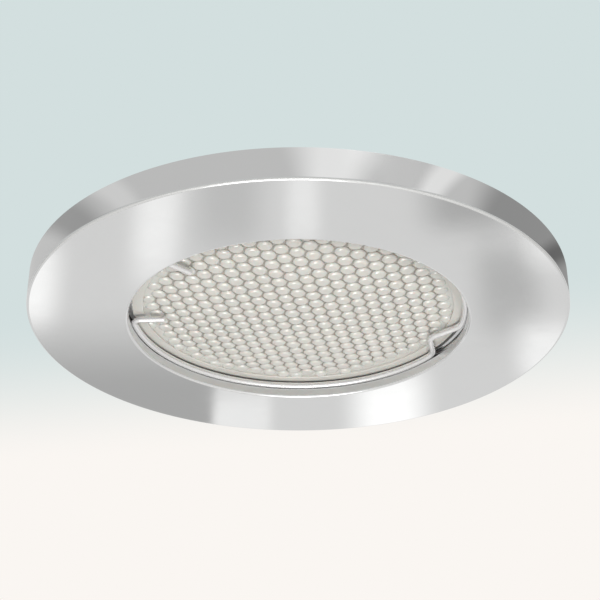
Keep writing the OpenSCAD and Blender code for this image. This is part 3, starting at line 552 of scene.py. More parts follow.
FINISHES: tuple[Finish, ...] = (
    Finish("polished_chrome", (0.84, 0.845, 0.85), (0.79, 0.795, 0.80), Stuff.METAL,
           roughness=0.055, spread=0.05, mottle_scale=45, mottle=0.35, relief_scale=140,
           relief_depth=0.004, edge_radius=0.0, bore_r=25.66),
    Finish("foam_rubber", (0.055, 0.055, 0.06), (0.025, 0.025, 0.03), roughness=0.86,
           mottle_scale=500, relief_scale=1700, relief_depth=0.25, relief_pits=1.0),
    Finish("spring_wire", (0.95, 0.94, 0.945), (0.88, 0.87, 0.875), Stuff.METAL,
           roughness=0.20, spread=0.06, mottle_scale=160, relief_scale=2500,
           relief_depth=0.004, edge_radius=0.0),
    Finish("galvanised_sheet", (0.60, 0.62, 0.64), (0.44, 0.46, 0.48), Stuff.METAL,
           roughness=0.30, spread=0.18, mottle_scale=140, mottle=0.8, relief_scale=900,
           relief_depth=0.008, relief_pits=0.4, wear=0.5, wear_colour=(0.75, 0.76, 0.77),
           dust=0.12),
    Finish("zinc_screw", (0.66, 0.67, 0.66), (0.52, 0.53, 0.50), Stuff.METAL,
           roughness=0.26, mottle_scale=600, relief_scale=2200, relief_depth=0.01, wear=0.6,
           wear_colour=(0.82, 0.82, 0.80), edge_radius=0.1),
    Finish("lamp_aluminium", (0.70, 0.70, 0.71), (0.58, 0.58, 0.59), Stuff.METAL,
           roughness=0.42, mottle_scale=120, relief_scale=2600, relief_depth=0.03, wear=0.5,
           wear_colour=(0.85, 0.85, 0.86)),
    Finish("board_white", (0.80, 0.80, 0.77), (0.70, 0.70, 0.66), roughness=0.5,
           mottle_scale=200, relief_scale=3000, relief_depth=0.01),
    Finish("phosphor", (0.80, 0.60, 0.12), (0.72, 0.48, 0.06), roughness=0.25,
           mottle_scale=800, relief_scale=2400, relief_depth=0.02, coat=0.4),
    Finish("brass", (0.72, 0.52, 0.20), (0.55, 0.37, 0.13), Stuff.METAL,
           roughness=0.28, mottle_scale=400, relief_scale=1800, relief_depth=0.01, wear=0.4,
           wear_colour=(0.86, 0.70, 0.38), edge_radius=0.1),
    Finish("board_green", (0.02, 0.13, 0.06), (0.01, 0.08, 0.04), roughness=0.32,
           mottle_scale=300, relief_scale=1500, relief_depth=0.015, coat=0.3,
           edge_radius=0.08),
    Finish("component_black", (0.02, 0.02, 0.022), (0.04, 0.04, 0.04), roughness=0.45,
           mottle_scale=500, relief_scale=2500, relief_depth=0.02),
    Finish("base_plastic", (0.76, 0.75, 0.71), (0.68, 0.66, 0.60), roughness=0.42,
           mottle_scale=160, relief_scale=2000, relief_depth=0.02, dust=0.1, subsurface=0.05),
    Finish("contact_steel", (0.70, 0.70, 0.68), (0.58, 0.58, 0.56), Stuff.METAL,
           roughness=0.2, mottle_scale=500, relief_scale=2500, relief_depth=0.006,
           stretch=(1.0, 0.1, 1.0), edge_radius=0.1),
    Finish("steatite", (0.78, 0.73, 0.62), (0.66, 0.60, 0.48), roughness=0.62,
           mottle_scale=260, mottle=0.6, relief_scale=2200, relief_depth=0.05,
           relief_pits=0.3, dust=0.1),
    Finish("lead_brown", (0.11, 0.035, 0.015), (0.07, 0.02, 0.01), roughness=0.42,
           mottle_scale=300, relief_scale=1500, relief_depth=0.02, edge_radius=0.0),
    Finish("lead_blue", (0.02, 0.07, 0.32), (0.01, 0.04, 0.20), roughness=0.42,
           mottle_scale=300, relief_scale=1500, relief_depth=0.02, edge_radius=0.0),
    Finish("glass_braid", (0.74, 0.70, 0.58), (0.52, 0.48, 0.38), roughness=0.7,
           mottle_scale=900, mottle=0.7, relief_scale=2600, relief_depth=0.05,
           edge_radius=0.0),
    Finish("black_rubber", (0.022, 0.022, 0.024), (0.04, 0.04, 0.042), roughness=0.62,
           mottle_scale=260, relief_scale=1800, relief_depth=0.03, dust=0.15,
           edge_radius=0.25),
    Finish("box_plastic", (0.075, 0.08, 0.085), (0.055, 0.058, 0.062), roughness=0.48,
           mottle_scale=120, relief_scale=2400, relief_depth=0.07, relief_pits=0.4,
           wear=0.5, wear_colour=(0.17, 0.18, 0.19), dust=0.22, edge_radius=0.3),
    Finish("block_plastic", (0.76, 0.75, 0.69), (0.66, 0.64, 0.57), roughness=0.4,
           mottle_scale=200, relief_scale=2000, relief_depth=0.02, subsurface=0.08),
    Finish("rivet_aluminium", (0.68, 0.68, 0.69), (0.55, 0.55, 0.56), Stuff.METAL,
           roughness=0.34, mottle_scale=600, relief_scale=2400, relief_depth=0.01, wear=0.4,
           wear_colour=(0.82, 0.82, 0.83), edge_radius=0.12),
    Finish("foot_rubber", (0.035, 0.035, 0.038), (0.055, 0.055, 0.058), roughness=0.7,
           mottle_scale=300, relief_scale=1600, relief_depth=0.04, wear=0.3,
           wear_colour=(0.10, 0.10, 0.105), dust=0.15, edge_radius=0.3),
    Finish("music_wire", (0.36, 0.37, 0.39), (0.24, 0.25, 0.27), Stuff.METAL,
           roughness=0.24, mottle_scale=300, relief_scale=2600, relief_depth=0.006,
           edge_radius=0.0),
)


@dataclass(frozen=True)
class LensDome:
    """The floor of the lens's field of cells: it bulges towards the room inside an edge."""

    floor_z: float = -1.7
    edge_r: float = 21.6
    bend: float = 0.0021

    def floor_at(self, r: float) -> float:
        """How high the floor is at a radius."""
        return self.floor_z - self.bend * max(self.edge_r**2 - r**2, 0.0)

    def flattened(self, graph: Graph, place: Feed) -> bpy.types.NodeSocket:
        """The height of a place in a material, with the dome's bulge taken off.

        Args:
            graph: The material's graph.
            place: The place on the lens.

        Returns:
            The height's socket, in metres.
        """
        at = graph.split(place)
        square = graph.math("MULTIPLY", at["X"], at["X"])
        square = graph.math("MULTIPLY_ADD", at["Y"], at["Y"], square)
        inside = graph.math("SUBTRACT", (self.edge_r * MM) ** 2, square)
        inside = graph.math("MAXIMUM", inside, 0.0)
        return graph.math("MULTIPLY_ADD", inside, self.bend / MM, at["Z"])


@dataclass(frozen=True)
class LensFinish:
    """The lens's cream plastic, with painted shade darkening the valleys between its cells."""

    slot: str = "lens_plastic"
    crown: Colour = (0.462, 0.450, 0.416)
    # painted shade: the colour of the valleys, and the height above the valley floor where the
    # cells' own colour takes over
    valley: Colour = (0.285, 0.264, 0.232)
    clean_h: float = 0.20
    shade_share: float = 0.90
    mottle_scale: float = 110.0
    mottle: float = 0.4
    roughness: float = 0.09
    spread: float = 0.07
    ior: float = 1.72
    specular: float = 0.9
    subsurface: float = 0.12
    skin_depth: float = 0.0012
    relief_scale: float = 1500.0
    relief_depth: float = 0.006
    dome: LensDome = LensDome()

    def build(self, groups: GroupLibrary) -> bpy.types.Material:
        """Makes the lens's material.

        Args:
            groups: The shared node groups.

        Returns:
            The material.
        """
        material = bpy.data.materials.new(self.slot)
        graph = Graph.cleared(material)
        place = graph.add("TexCoord").outputs["Object"]
        tone = groups.place(graph, Effect.MOTTLE, {
            "Vector": place, "Colour": opaque(self.crown),
            "Shade": opaque(tuple(c * self.shade_share for c in self.crown)),
            "Scale": self.mottle_scale, "Amount": self.mottle,
        })
        # painted shade: darkens the cells towards the valley floor, by height with the dome's
        # bulge taken off
        floor_z, unshaded_z = self.dome.floor_z * MM, (self.dome.floor_z - self.clean_h) * MM
        unshaded_share = graph.ramp(self.dome.flattened(graph, place), floor_z, unshaded_z, smooth=True)
        rough = groups.place(graph, Effect.SMUDGE, {
            "Roughness": self.roughness, "Spread": self.spread, "Tone": tone["Tone"],
        })
        relief = groups.place(graph, Effect.RELIEF, {"Vector": place, "Scale": self.relief_scale})
        bump = graph.add("Bump", {
            "Distance": self.relief_depth * MM, "Height": relief["Height"],
        })
        shader = graph.add("BsdfPrincipled", {
            "Base Color": graph.mix(unshaded_share, opaque(self.valley), tone["Colour"]),
            "Roughness": rough["Roughness"],
            "IOR": self.ior,
            "Normal": bump.outputs["Normal"],
            "Subsurface Weight": self.subsurface,
            "Subsurface Scale": self.skin_depth,
            "Specular IOR Level": self.specular,
        })
        graph.add("OutputMaterial", {"Surface": shader.outputs["BSDF"]})
        return material


class Paintbox:
    """Every finish of the light as a Blender material, by its slot's name."""

    def __init__(self) -> None:
        """Builds the shared groups and every material."""
        groups = GroupLibrary()
        self.materials: dict[str, bpy.types.Material] = {
            finish.slot: finish.build(groups) for finish in (*FINISHES, LensFinish())
        }

    def paint(self, obj: bpy.types.Object, slot: str) -> bpy.types.Object:
        """Gives an object one finish.

        Args:
            obj: The piece or CAD node.
            slot: The record's material slot.

        Returns:
            The same object.
        """
        obj.data.materials.clear()
        obj.data.materials.append(self.materials[slot])
        return obj


# ---------------------------------------------------------------------------
# Mesh helpers
# ---------------------------------------------------------------------------


def bearings(count: int) -> list[float]:
    """The bearings of equal steps round a whole turn, in radians."""
    return [2 * math.pi * k / count for k in range(count)]


def polar(radius: float, degrees: float, z: float) -> Vector:
    """A point at a radius and a bearing, at one height."""
    turn = math.radians(degrees)
    return Vector((radius * math.cos(turn), radius * math.sin(turn), z))


def quads(rows: int, around: int, closed: bool = False) -> list[Sequence[int]]:
    """The faces between rings of points that all have the same count.

    Args:
        rows: How many rings there are.
        around: How many points each ring has.
        closed: Whether the last ring joins on to the first.

    Returns:
        The faces.
    """
    return [
        (i * around + k, i * around + (k + 1) % around,
         (i + 1) % rows * around + (k + 1) % around, (i + 1) % rows * around + k)
        for i in range(rows if closed else rows - 1)
        for k in range(around)
    ]


def add_object(name: str, mesh: bpy.types.Mesh) -> bpy.types.Object:
    """Links a mesh into the scene as an object.

    Args:
        name: The object's name.
        mesh: Its mesh.

    Returns:
        The object.
    """
    obj = bpy.data.objects.new(name, mesh)
    bpy.context.scene.collection.objects.link(obj)
    return obj


def mesh_object(
    name: str, points: Sequence[Point], faces: Sequence[Sequence[int]], crease: float = CREASE
) -> bpy.types.Object:
    """Makes a smooth-shaded object from points in millimetres.

    Args:
        name: The object's name.
        points: The vertices, in millimetres.
        faces: The faces, as lists of vertex numbers.
        crease: Edges that turn more than this many degrees stay sharp.

    Returns:
        The object.
    """
    mesh = bpy.data.meshes.new(name)
    mesh.from_pydata([(x * MM, y * MM, z * MM) for x, y, z in points], [], faces)
    work = bmesh.new()
    work.from_mesh(mesh)
    bmesh.ops.remove_doubles(work, verts=work.verts, dist=WELD)
    bmesh.ops.recalc_face_normals(work, faces=work.faces)
    limit = math.radians(crease)
    for face in work.faces:
        face.smooth = True
    for edge in work.edges:
        edge.smooth = len(edge.link_faces) == 2 and edge.calc_face_angle(0.0) < limit
    work.to_mesh(mesh)
    work.free()
    return add_object(name, mesh)


def apply_modifiers(obj: bpy.types.Object) -> bpy.types.Object:
    """Turns an object's modifiers into mesh.

    Args:
        obj: The object.

    Returns:
        The same object, with no modifier left.
    """
    bpy.context.view_layer.update()
    depsgraph = bpy.context.evaluated_depsgraph_get()
    done = bpy.data.meshes.new_from_object(obj.evaluated_get(depsgraph))
    obj.modifiers.clear()
    obj.data = done
    return obj


def softened(
    node: bpy.types.Object, name: str, radius: float, segments: int = 2
) -> bpy.types.Object:
    """A copy of a CAD node's mesh with its hard edges rounded, for a piece that replaces it.

    Args:
        node: The CAD node.
        name: The new object's name.
        radius: The radius of the rounded edges, in millimetres.
        segments: How many facets a rounded edge has.

    Returns:
        The new object.
    """
    work = bmesh.new()
    work.from_mesh(node.data)
    bmesh.ops.remove_doubles(work, verts=work.verts, dist=MESH_TOUCH)
    flat = math.radians(FLAT_ANGLE)
    bmesh.ops.dissolve_limit(work, angle_limit=flat, verts=work.verts, edges=work.edges)
    for face in work.faces:
        face.smooth = True
    mesh = bpy.data.meshes.new(name)
    work.to_mesh(mesh)
    work.free()
    obj = add_object(name, mesh)
    round_off = obj.modifiers.new("rounded", "BEVEL")
    round_off.width = radius * MM
    round_off.segments = segments
    round_off.limit_method = "ANGLE"
    round_off.angle_limit = math.radians(EDGE_ANGLE)
    obj.modifiers.new("even", "WEIGHTED_NORMAL")
    return apply_modifiers(obj)


def arc(
    centre: tuple[float, float], radius: float, start: float, end: float, steps: int
) -> Profile:
    """Points of an arc in the (r, z) plane.

    Args:
        centre: The arc's centre.
        radius: Its radius.
        start: The angle that it starts at, in degrees.
        end: The angle that it ends at, in degrees.
        steps: How many pieces it is cut into.

    Returns:
        The points, from start to end.
    """
    turns = [math.radians(start + (end - start) * i / steps) for i in range(steps + 1)]
    return [(centre[0] + radius * math.cos(a), centre[1] + radius * math.sin(a)) for a in turns]


def with_holding_points(profile: Profile) -> Profile:
    """Adds a point close to each end of every long stretch, so that flat faces shade flat.

    Args:
        profile: A closed profile in (r, z).

    Returns:
        The fuller profile.
    """
    full: Profile = []
    for i, (r0, z0) in enumerate(profile):
        r1, z1 = profile[(i + 1) % len(profile)]
        long = math.hypot(r1 - r0, z1 - z0)
        full.append((r0, z0))
        if long > 8 * HOLD_INSET:
            share = HOLD_INSET / long
            full.append((r0 + (r1 - r0) * share, z0 + (z1 - z0) * share))
            full.append((r1 - (r1 - r0) * share, z1 - (z1 - z0) * share))
    return full


def lathe(
    name: str,
    profile: Profile,
    segments: int,
    place: Callable[[float, float, float], Point] | None = None,
) -> bpy.types.Object:
    """Turns a closed profile round the Z axis.

    Args:
        name: The object's name.
        profile: The closed profile in (r, z), in millimetres.
        segments: How many steps the turn has.
        place: Moves a turned point to where it goes, if not along Z at the origin.

    Returns:
        The object.
    """
    full = with_holding_points(profile)
    points: list[Point] = []
    for turn in bearings(segments):
        for r, z in full:
            point = (r * math.cos(turn), r * math.sin(turn), z)
            points.append(place(*point) if place else point)
    return mesh_object(name, points, quads(segments, len(full), closed=True))


ROUND_END: tuple[tuple[float, float], ...] = (
    (0.0, 0.35), (0.05, 0.65), (0.16, 0.85), (0.36, 0.97), (0.6, 1.0),
)


def tube(
    name: str, path: Sequence[Vector], radius: float, across: Point, sides: int
) -> bpy.types.Object:
    """Sweeps a round section along a path, with a rounded cap at each end.

    Args:
        name: The object's name.
        path: The centre line, in millimetres.
        radius: The radius of the section.
        across: A direction that the path never runs along.
        sides: How many sides the section has.

    Returns:
        The object.
    """
    rings: list[tuple[Vector, Vector, float]] = []
    last = len(path) - 1
    for i, centre in enumerate(path):
        run = (path[min(i + 1, last)] - path[max(i - 1, 0)]).normalized()
        if i == 0:
            rings += [(centre + run * radius * back, run, size) for back, size in ROUND_END]
        elif i == last:
            ends = reversed(ROUND_END)
            rings += [(centre - run * radius * back, run, size) for back, size in ends]
        else:
            rings.append((centre, run, 1.0))
    points: list[Point] = []
    for centre, run, size in rings:
        first = run.cross(Vector(across)).normalized()
        second = run.cross(first)
        for turn in bearings(sides):
            out = math.cos(turn) * first + math.sin(turn) * second
            points.append(tuple(centre + radius * size * out))
    count = len(rings)
    faces = quads(count, sides)
    faces.append(list(range(sides))[::-1])
    faces.append([(count - 1) * sides + k for k in range(sides)])
    return mesh_object(name, points, faces, TUBE_CREASE)


def bezier(a: Vector, b: Vector, c: Vector, d: Vector, steps: int) -> list[Vector]:
    """Points of a cubic curve.

    Args:
        a: Its start.
        b: Its first handle.
        c: Its second handle.
        d: Its end.
        steps: How many pieces it is cut into.

    Returns:
        The points, from start to end.
    """
    points: list[Vector] = []
    for i in range(steps + 1):
        t = i / steps
        s = 1 - t
        points.append(s * s * s * a + 3 * s * s * t * b + 3 * s * t * t * c + t * t * t * d)
    return points


# ---------------------------------------------------------------------------
# Sub-assemblies
# ---------------------------------------------------------------------------


@dataclass
class SubAssembly:
    """What every sub-assembly has: the CAD frame, the finishes and the pieces it has made."""

    nodes: dict[str, bpy.types.Object]
    paints: Paintbox
    pieces: list[bpy.types.Object] = field(default_factory=list)
    finishes: Slots = ()

    def dress(self, finishes: Slots) -> None:
        """Gives the CAD nodes that stay their finishes.

        Args:
            finishes: Each node and its material slot.
        """
        for node, slot in finishes:
            self.pieces.append(self.paints.paint(self.nodes[node], slot))

    def add(self, piece: bpy.types.Object, body: str, slot: str, node: str) -> None:
        """Paints a new piece and lets it stand for a CAD node, on the node's body.

        Args:
            piece: The new piece.
            body: The CAD body that it moves with.
            slot: The record's material slot.
            node: The CAD node that it stands for.
        """
        self.paints.paint(piece, slot)
        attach(piece, body)
        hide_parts(node)
        self.pieces.append(piece)

    def build(self) -> None:
        """Builds the sub-assembly's pieces and dresses its CAD nodes."""
        self.dress(self.finishes)

    def report(self) -> None:
        """Logs each piece of this sub-assembly."""
        for piece in self.pieces:
            LOG.info("%s: %s, %d faces", type(self).__name__, piece.name, len(piece.data.polygons))


@dataclass
class Trim(SubAssembly):
    """The chrome bezel, the foam gasket behind it and the wire ring that holds the lamp."""

    outer_r: float = 40.5
    opening_r: float = 25.6
    collar_r: float = 27.6
    front_z: float = -4.8
    pocket_z: float = -3.2
    rim_wall: float = 2.0
    collar_h: float = 9.0
    edge_round: float = 0.4
    small_round: float = 0.12
    ring_z: float = -2.8
    ring_r: float = 25.3
    wire_r: float = 0.5
    groove_r: float = 25.85
    groove_play: float = 0.05
    lip_r: float = 24.4
    lip_z: float = 0.3
    lip_t: float = 1.2
    gasket_out: float = 38.0
    gasket_in: float = 34.0
    gasket_low: float = -3.15
    gasket_top: float = 0.6
    gasket_round: float = 0.5
    gasket_draw: float = 0.03
    gasket_waist: tuple[float, float] = (-1.2, -0.6)
    gasket_dish: float = 0.05
    screw_z: float = 5.0
    screw_r: float = 1.3
    screw_count: int = 3
    drill_out: float = 0.6
    drill_depth: float = 3.2
    finger_r: float = 20.3
    bend_r: float = 1.2
    finger_steps: int = 6
    bend_steps: int = 10
    gap_angle: float = 199.2
    gap_half: float = 21.9
    gap_clear: float = 1.5
    ear_angle: float = 19.4
    ear_half: float = 11.5
    ear_r: float = 21.85
    ear_round: float = 1.4
    ear_lead: float = 4.0
    ear_clear: float = 4.6

    def build(self) -> None:
        """Builds the bezel, the gasket and the ring."""
        self.add(self._bezel(), "housing", "polished_chrome", "bezel")
        self.add(self._gasket(), "housing", "foam_rubber", "soffit_gasket")
        ring = tube("ring_wire", self.ring_path(), self.wire_r, (0, 0, 1), 20)
        self.add(ring, "ring", "spring_wire", "retaining_ring")

    def _bezel(self) -> bpy.types.Object:
        """Turns the bezel's section, then cuts the three screw holes in its collar.

        Returns:
            The bezel.
        """
        edge, small = self.edge_round, self.small_round
        rim_in, half = self.outer_r - self.rim_wall, self.wire_r + self.groove_play
        profile = arc((self.opening_r + edge, self.front_z + edge), edge, 180, 270, 10)
        profile += arc((self.outer_r - edge, self.front_z + edge), edge, 270, 360, 10)
        profile += arc((self.outer_r - small, -small), small, 0, 90, 4)
        profile += arc((rim_in + small, -small), small, 90, 180, 4)
        profile += arc((rim_in - small, self.pocket_z + small), small, 0, -90, 4)
        profile += arc((self.collar_r + small, self.pocket_z + small), small, 270, 180, 4)
        profile += arc((self.collar_r - small, self.collar_h - small), small, 0, 90, 4)
        profile += arc((self.opening_r + small, self.collar_h - small), small, 90, 180, 4)
        lip_top = self.lip_z + self.lip_t
        profile += [(self.opening_r, lip_top), (self.lip_r, lip_top)]
        profile += [(self.lip_r, self.lip_z), (self.opening_r, self.lip_z)]
        profile += [(self.opening_r, self.ring_z + half), (self.groove_r, self.ring_z + half)]
        profile += [(self.groove_r, self.ring_z - half), (self.opening_r, self.ring_z - half)]
        return self._drilled(lathe("bezel_casting", profile, 256))

    def _drilled(self, bezel: bpy.types.Object) -> bpy.types.Object:
        """Cuts the collar's three screw holes.

        Args:
            bezel: The turned bezel.

        Returns:
            The same object, with its holes.
        """
        drill = bmesh.new()
        reach = (self.opening_r + self.collar_r) / 2 + self.drill_out
        for k in range(self.screw_count):
            angle = 90 + 360 / self.screw_count * k
            spin = Matrix.Rotation(math.radians(angle), 4, "Z")
            lay = Matrix.Rotation(math.pi / 2, 4, "Y")
            place = Matrix.Translation(polar(reach, angle, self.screw_z) * MM) @ (spin @ lay)
            bmesh.ops.create_cone(
                drill, cap_ends=True, segments=24, radius1=self.screw_r * MM,
                radius2=self.screw_r * MM, depth=self.drill_depth * MM, matrix=place,
            )
        mesh = bpy.data.meshes.new("drill")
        drill.to_mesh(mesh)
        drill.free()
        tool = add_object("drill", mesh)
        cut = bezel.modifiers.new("holes", "BOOLEAN")
        cut.operation = "DIFFERENCE"
        cut.object = tool
        cut.solver = "EXACT"
        apply_modifiers(bezel)
        bpy.data.objects.remove(tool)
        return bezel

    def _gasket(self) -> bpy.types.Object:
        """Turns the foam gasket, with soft corners and a slight waist.

        Returns:
            The gasket.
        """
        r, draw = self.gasket_round, self.gasket_draw
        low, (waist_low, waist_high) = self.gasket_low + r, self.gasket_waist
        profile = arc((self.gasket_in + r, low), r, 180, 270, 4)
        profile += arc((self.gasket_out - r, low), r, 270, 360, 4)
        profile += [(self.gasket_out, waist_low), (self.gasket_out - 2 * draw, waist_high)]
        profile += arc((self.gasket_out - r - draw, self.gasket_top - r), r, 0, 90, 5)
        middle = (self.gasket_in + self.gasket_out) / 2
        profile += [(middle, self.gasket_top - self.gasket_dish)]
        profile += arc((self.gasket_in + r + draw, self.gasket_top - r), r, 90, 180, 5)
        profile += [(self.gasket_in + 2 * draw, waist_high), (self.gasket_in, waist_low)]
        return lathe("gasket_foam", profile, 240)

    @property
    def _bend_turn(self) -> float:
        """The bearing between a finger and the middle of its bend, in degrees."""
        return math.degrees(math.asin(self.bend_r / (self.ring_r - self.bend_r)))

    def _finger(self, angle: float, turn: int) -> list[Vector]:
        """One finger end of the ring: radial from its tip, then a bend into the ring.

        Args:
            angle: The finger's bearing, in degrees.
            turn: +1 or -1, the way that it bends.

        Returns:
            Its points, from the tip.
        """
        centre_r = self.ring_r - self.bend_r
        end = centre_r * math.cos(math.radians(self._bend_turn))
        bearing = angle + turn * self._bend_turn
        steps, long = self.finger_steps, end - self.finger_r
        points = [
            polar(self.finger_r + long * i / steps, angle, self.ring_z) for i in range(steps + 1)
        ]
        middle = polar(centre_r, bearing, self.ring_z)
        for k in range(1, self.bend_steps + 1):
            swing = bearing - turn * (90 - 90 * k / self.bend_steps)
            points.append(middle + polar(self.bend_r, swing, 0.0))
        return points

    def _soft_corner(self, a: Vector, b: Vector, c: Vector, steps: int) -> list[Vector]:
        """A rounded corner at b on the way from a to c.

        Args:
            a: The point before the corner.
            b: The corner.
            c: The point after it.
            steps: How many pieces the corner is cut into.

        Returns:
            The points of the rounded corner.
        """
        p = b + self.ear_round * (a - b).normalized()
        q = b + self.ear_round * (c - b).normalized()
        shares = [i / steps for i in range(steps + 1)]
        return [(1 - t) ** 2 * p + 2 * t * (1 - t) * b + t * t * q for t in shares]

    def ring_path(self) -> list[Vector]:
        """The wire's centre line, from one finger tip round to the other.

        Returns:
            The points, in millimetres.
        """
        z = self.ring_z
        first = self.gap_angle - self.gap_half
        second = self.gap_angle + self.gap_half - 360
        ear_start, ear_end = self.ear_angle + self.ear_half, self.ear_angle - self.ear_half
        before = polar(self.ring_r, ear_start + self.ear_lead, z)
        corner_in = polar(self.ring_r, ear_start, z)
        tip = polar(self.ear_r, self.ear_angle, z)
        corner_out = polar(self.ring_r, ear_end, z)
        after = polar(self.ring_r, ear_end - self.ear_lead, z)
        clear = self._bend_turn + self.gap_clear
        path = self._finger(first, -1)
        path += self._stretch(first - clear, ear_start + self.ear_clear)
        path += self._soft_corner(before, corner_in, tip, 8)
        path += self._soft_corner(corner_in, tip, corner_out, 10)
        path += self._soft_corner(tip, corner_out, after, 8)
        path += self._stretch(ear_end - self.ear_clear, second + clear)
        path += reversed(self._finger(second, 1))
        return path

    def _stretch(self, start: float, end: float) -> list[Vector]:
        """A plain stretch of the ring, in steps of about 2 degrees.

        Args:
            start: The bearing that it starts at.
            end: The bearing that it ends at.

        Returns:
            Its points.
        """
        steps = math.ceil(abs(end - start) / 2)
        turns = [start + (end - start) * i / steps for i in range(steps + 1)]
        return [polar(self.ring_r, turn, self.ring_z) for turn in turns]


@dataclass
class Lamp(SubAssembly):
    """The push-in lamp, with its lens of hexagonal cells."""

    front_z: float = -2.2
    outer_r: float = 25.2
    flange: float = 1.3
    plug_r: float = 22.8
    plug_top: float = 0.4
    edge_round: float = 0.14
    field_r: float = 23.5
    field_round: float = 0.12
    field_play: float = 0.02
    dome: LensDome = LensDome()
    dome_steps: int = 18
    shore: float = 0.20
    shore_w: float = 0.9
    pitch: float = 2.385
    shift: tuple[float, float] = (1.35, 0.04)
    turn: float = 18.6
    cell_h: float = 0.42
    cell_root: float = 0.02
    cell_gap: float = 0.12
    cell_sides: int = 12
    corner_reach: float = 0.91
    middle_reach: float = 1.04
    cell_crease: float = 80.0
    facets: tuple[tuple[float, float], ...] = (
        (0.36, 1.0), (0.60, 0.985), (0.66, 0.95), (0.70, 0.905),
        (0.84, 0.70), (0.90, 0.60), (0.96, 0.38), (1.0, 0.0),
    )
    finishes: Slots = (
        ("lamp_shell", "lamp_aluminium"),
        ("lamp_led_board", "board_white"),
        ("lamp_leds", "phosphor"),
        ("lamp_link_pins", "brass"),
        ("lamp_driver_board", "board_green"),
        ("lamp_driver_parts", "component_black"),
        ("lamp_base", "base_plastic"),
        ("lamp_pins", "contact_steel"),
    )

    def build(self) -> None:
        """Builds the lens and dresses the lamp's other parts."""
        self.add(self._lens(), "lamp", "lens_plastic", "lamp_lens")
        self.dress(self.finishes)

    def cell_centres(self) -> list[Vector]:
        """The centres of the cells, on a lattice of equal triangles.

        Returns:
            The centres, in millimetres, turned to where the rows run.
        """
        reach = math.ceil(2 * self.field_r / self.pitch)
        spin = Matrix.Rotation(math.radians(self.turn), 3, "Z")
        steps = range(-reach, reach + 1)
        spots = (
            spin @ Vector((i + j / 2, j * math.sqrt(3) / 2, 0.0)) * self.pitch
            + Vector((*self.shift, 0.0))
            for i in steps for j in steps
        )
        return [spot for spot in spots if spot.length < self.field_r]

    def _lens(self) -> bpy.types.Object:
        """Joins the lens's turned body and its cells.

        Returns:
            The lens.
        """
        soft, small = self.edge_round, self.field_round
        shore_z, back = self.dome.floor_z - self.shore, self.front_z + self.flange
        steps = range(1, self.dome_steps + 1)
        radii = [AXIS_R] + [self.dome.edge_r * step / self.dome_steps for step in steps]
        profile = [(r, self.dome.floor_at(r)) for r in radii]
        profile += [(self.field_r - self.shore_w, shore_z), (self.field_r, shore_z)]
        profile += arc((self.field_r + small, self.front_z + small), small, 180, 270, 4)
        profile += arc((self.outer_r - soft, self.front_z + soft), soft, 270, 360, 5)
        profile += [(self.outer_r, back), (self.plug_r, back)]
        profile += [(self.plug_r, self.plug_top), (AXIS_R, self.plug_top)]
        body = lathe("lens_moulding", profile, 192)
        cells = self._cells()
        whole = bmesh.new()
        whole.from_mesh(body.data)
        whole.from_mesh(cells.data)
        whole.to_mesh(body.data)
        whole.free()
        bpy.data.objects.remove(cells)
        return body

    def _cells(self) -> bpy.types.Object:
        """Models every cell as a low pillow with a hexagonal foot, cut where it meets the rim.

        Returns:
            One object that holds all the cells.
        """
        sides, limit, root = self.cell_sides, self.field_r - self.field_play, self.cell_root
        points: list[Point] = []
        faces: list[Sequence[int]] = []
        for centre in self.cell_centres():
            base = len(points)
            middle = centre * min(1.0, limit / centre.length) if centre.length else centre
            points.append((middle.x, middle.y, self.dome.floor_at(middle.length) - self.cell_h))
            for share, drop in self.facets:
                for angle in bearings(sides):
                    out = share * self._outline(angle, share)
                    spot = centre + polar(out, math.degrees(angle) + self.turn, 0.0)
                    spot *= min(1.0, limit / spot.length)
                    z = self.dome.floor_at(spot.length) + root - (self.cell_h + root) * drop
                    points.append((spot.x, spot.y, z))
            for k in range(sides):
                faces.append((base, base + 1 + k, base + 1 + (k + 1) % sides))
            for ring in range(len(self.facets) - 1):
                low, high = base + 1 + ring * sides, base + 1 + (ring + 1) * sides
                for k in range(sides):
                    after = (k + 1) % sides
                    faces.append((low + k, high + k, high + after, low + after))
        return mesh_object("lens_cells", points, faces, self.cell_crease)

    def _outline(self, angle: float, share: float) -> float:
        """How far a cell reaches at an angle: round at its middle and six-sided at its foot.

        Args:
            angle: The angle from a flat's middle, in radians.
            share: 0 at the middle and 1 at the foot.

        Returns:
            The reach, in millimetres.
        """
        corner_r = (self.pitch - self.cell_gap) / math.sqrt(3)
        flat_r = corner_r * math.cos(math.pi / 6)
        within = (angle + math.pi / 6) % (math.pi / 3) - math.pi / 6
        straight = min(flat_r / math.cos(within), corner_r * self.corner_reach)
        return straight * share + flat_r * self.middle_reach * (1 - share)


@dataclass
class Can(SubAssembly):
    """The vented can and the screws that hold it to the bezel's collar."""

    finishes: Slots = (("can", "galvanised_sheet"), ("can_screws", "zinc_screw"))


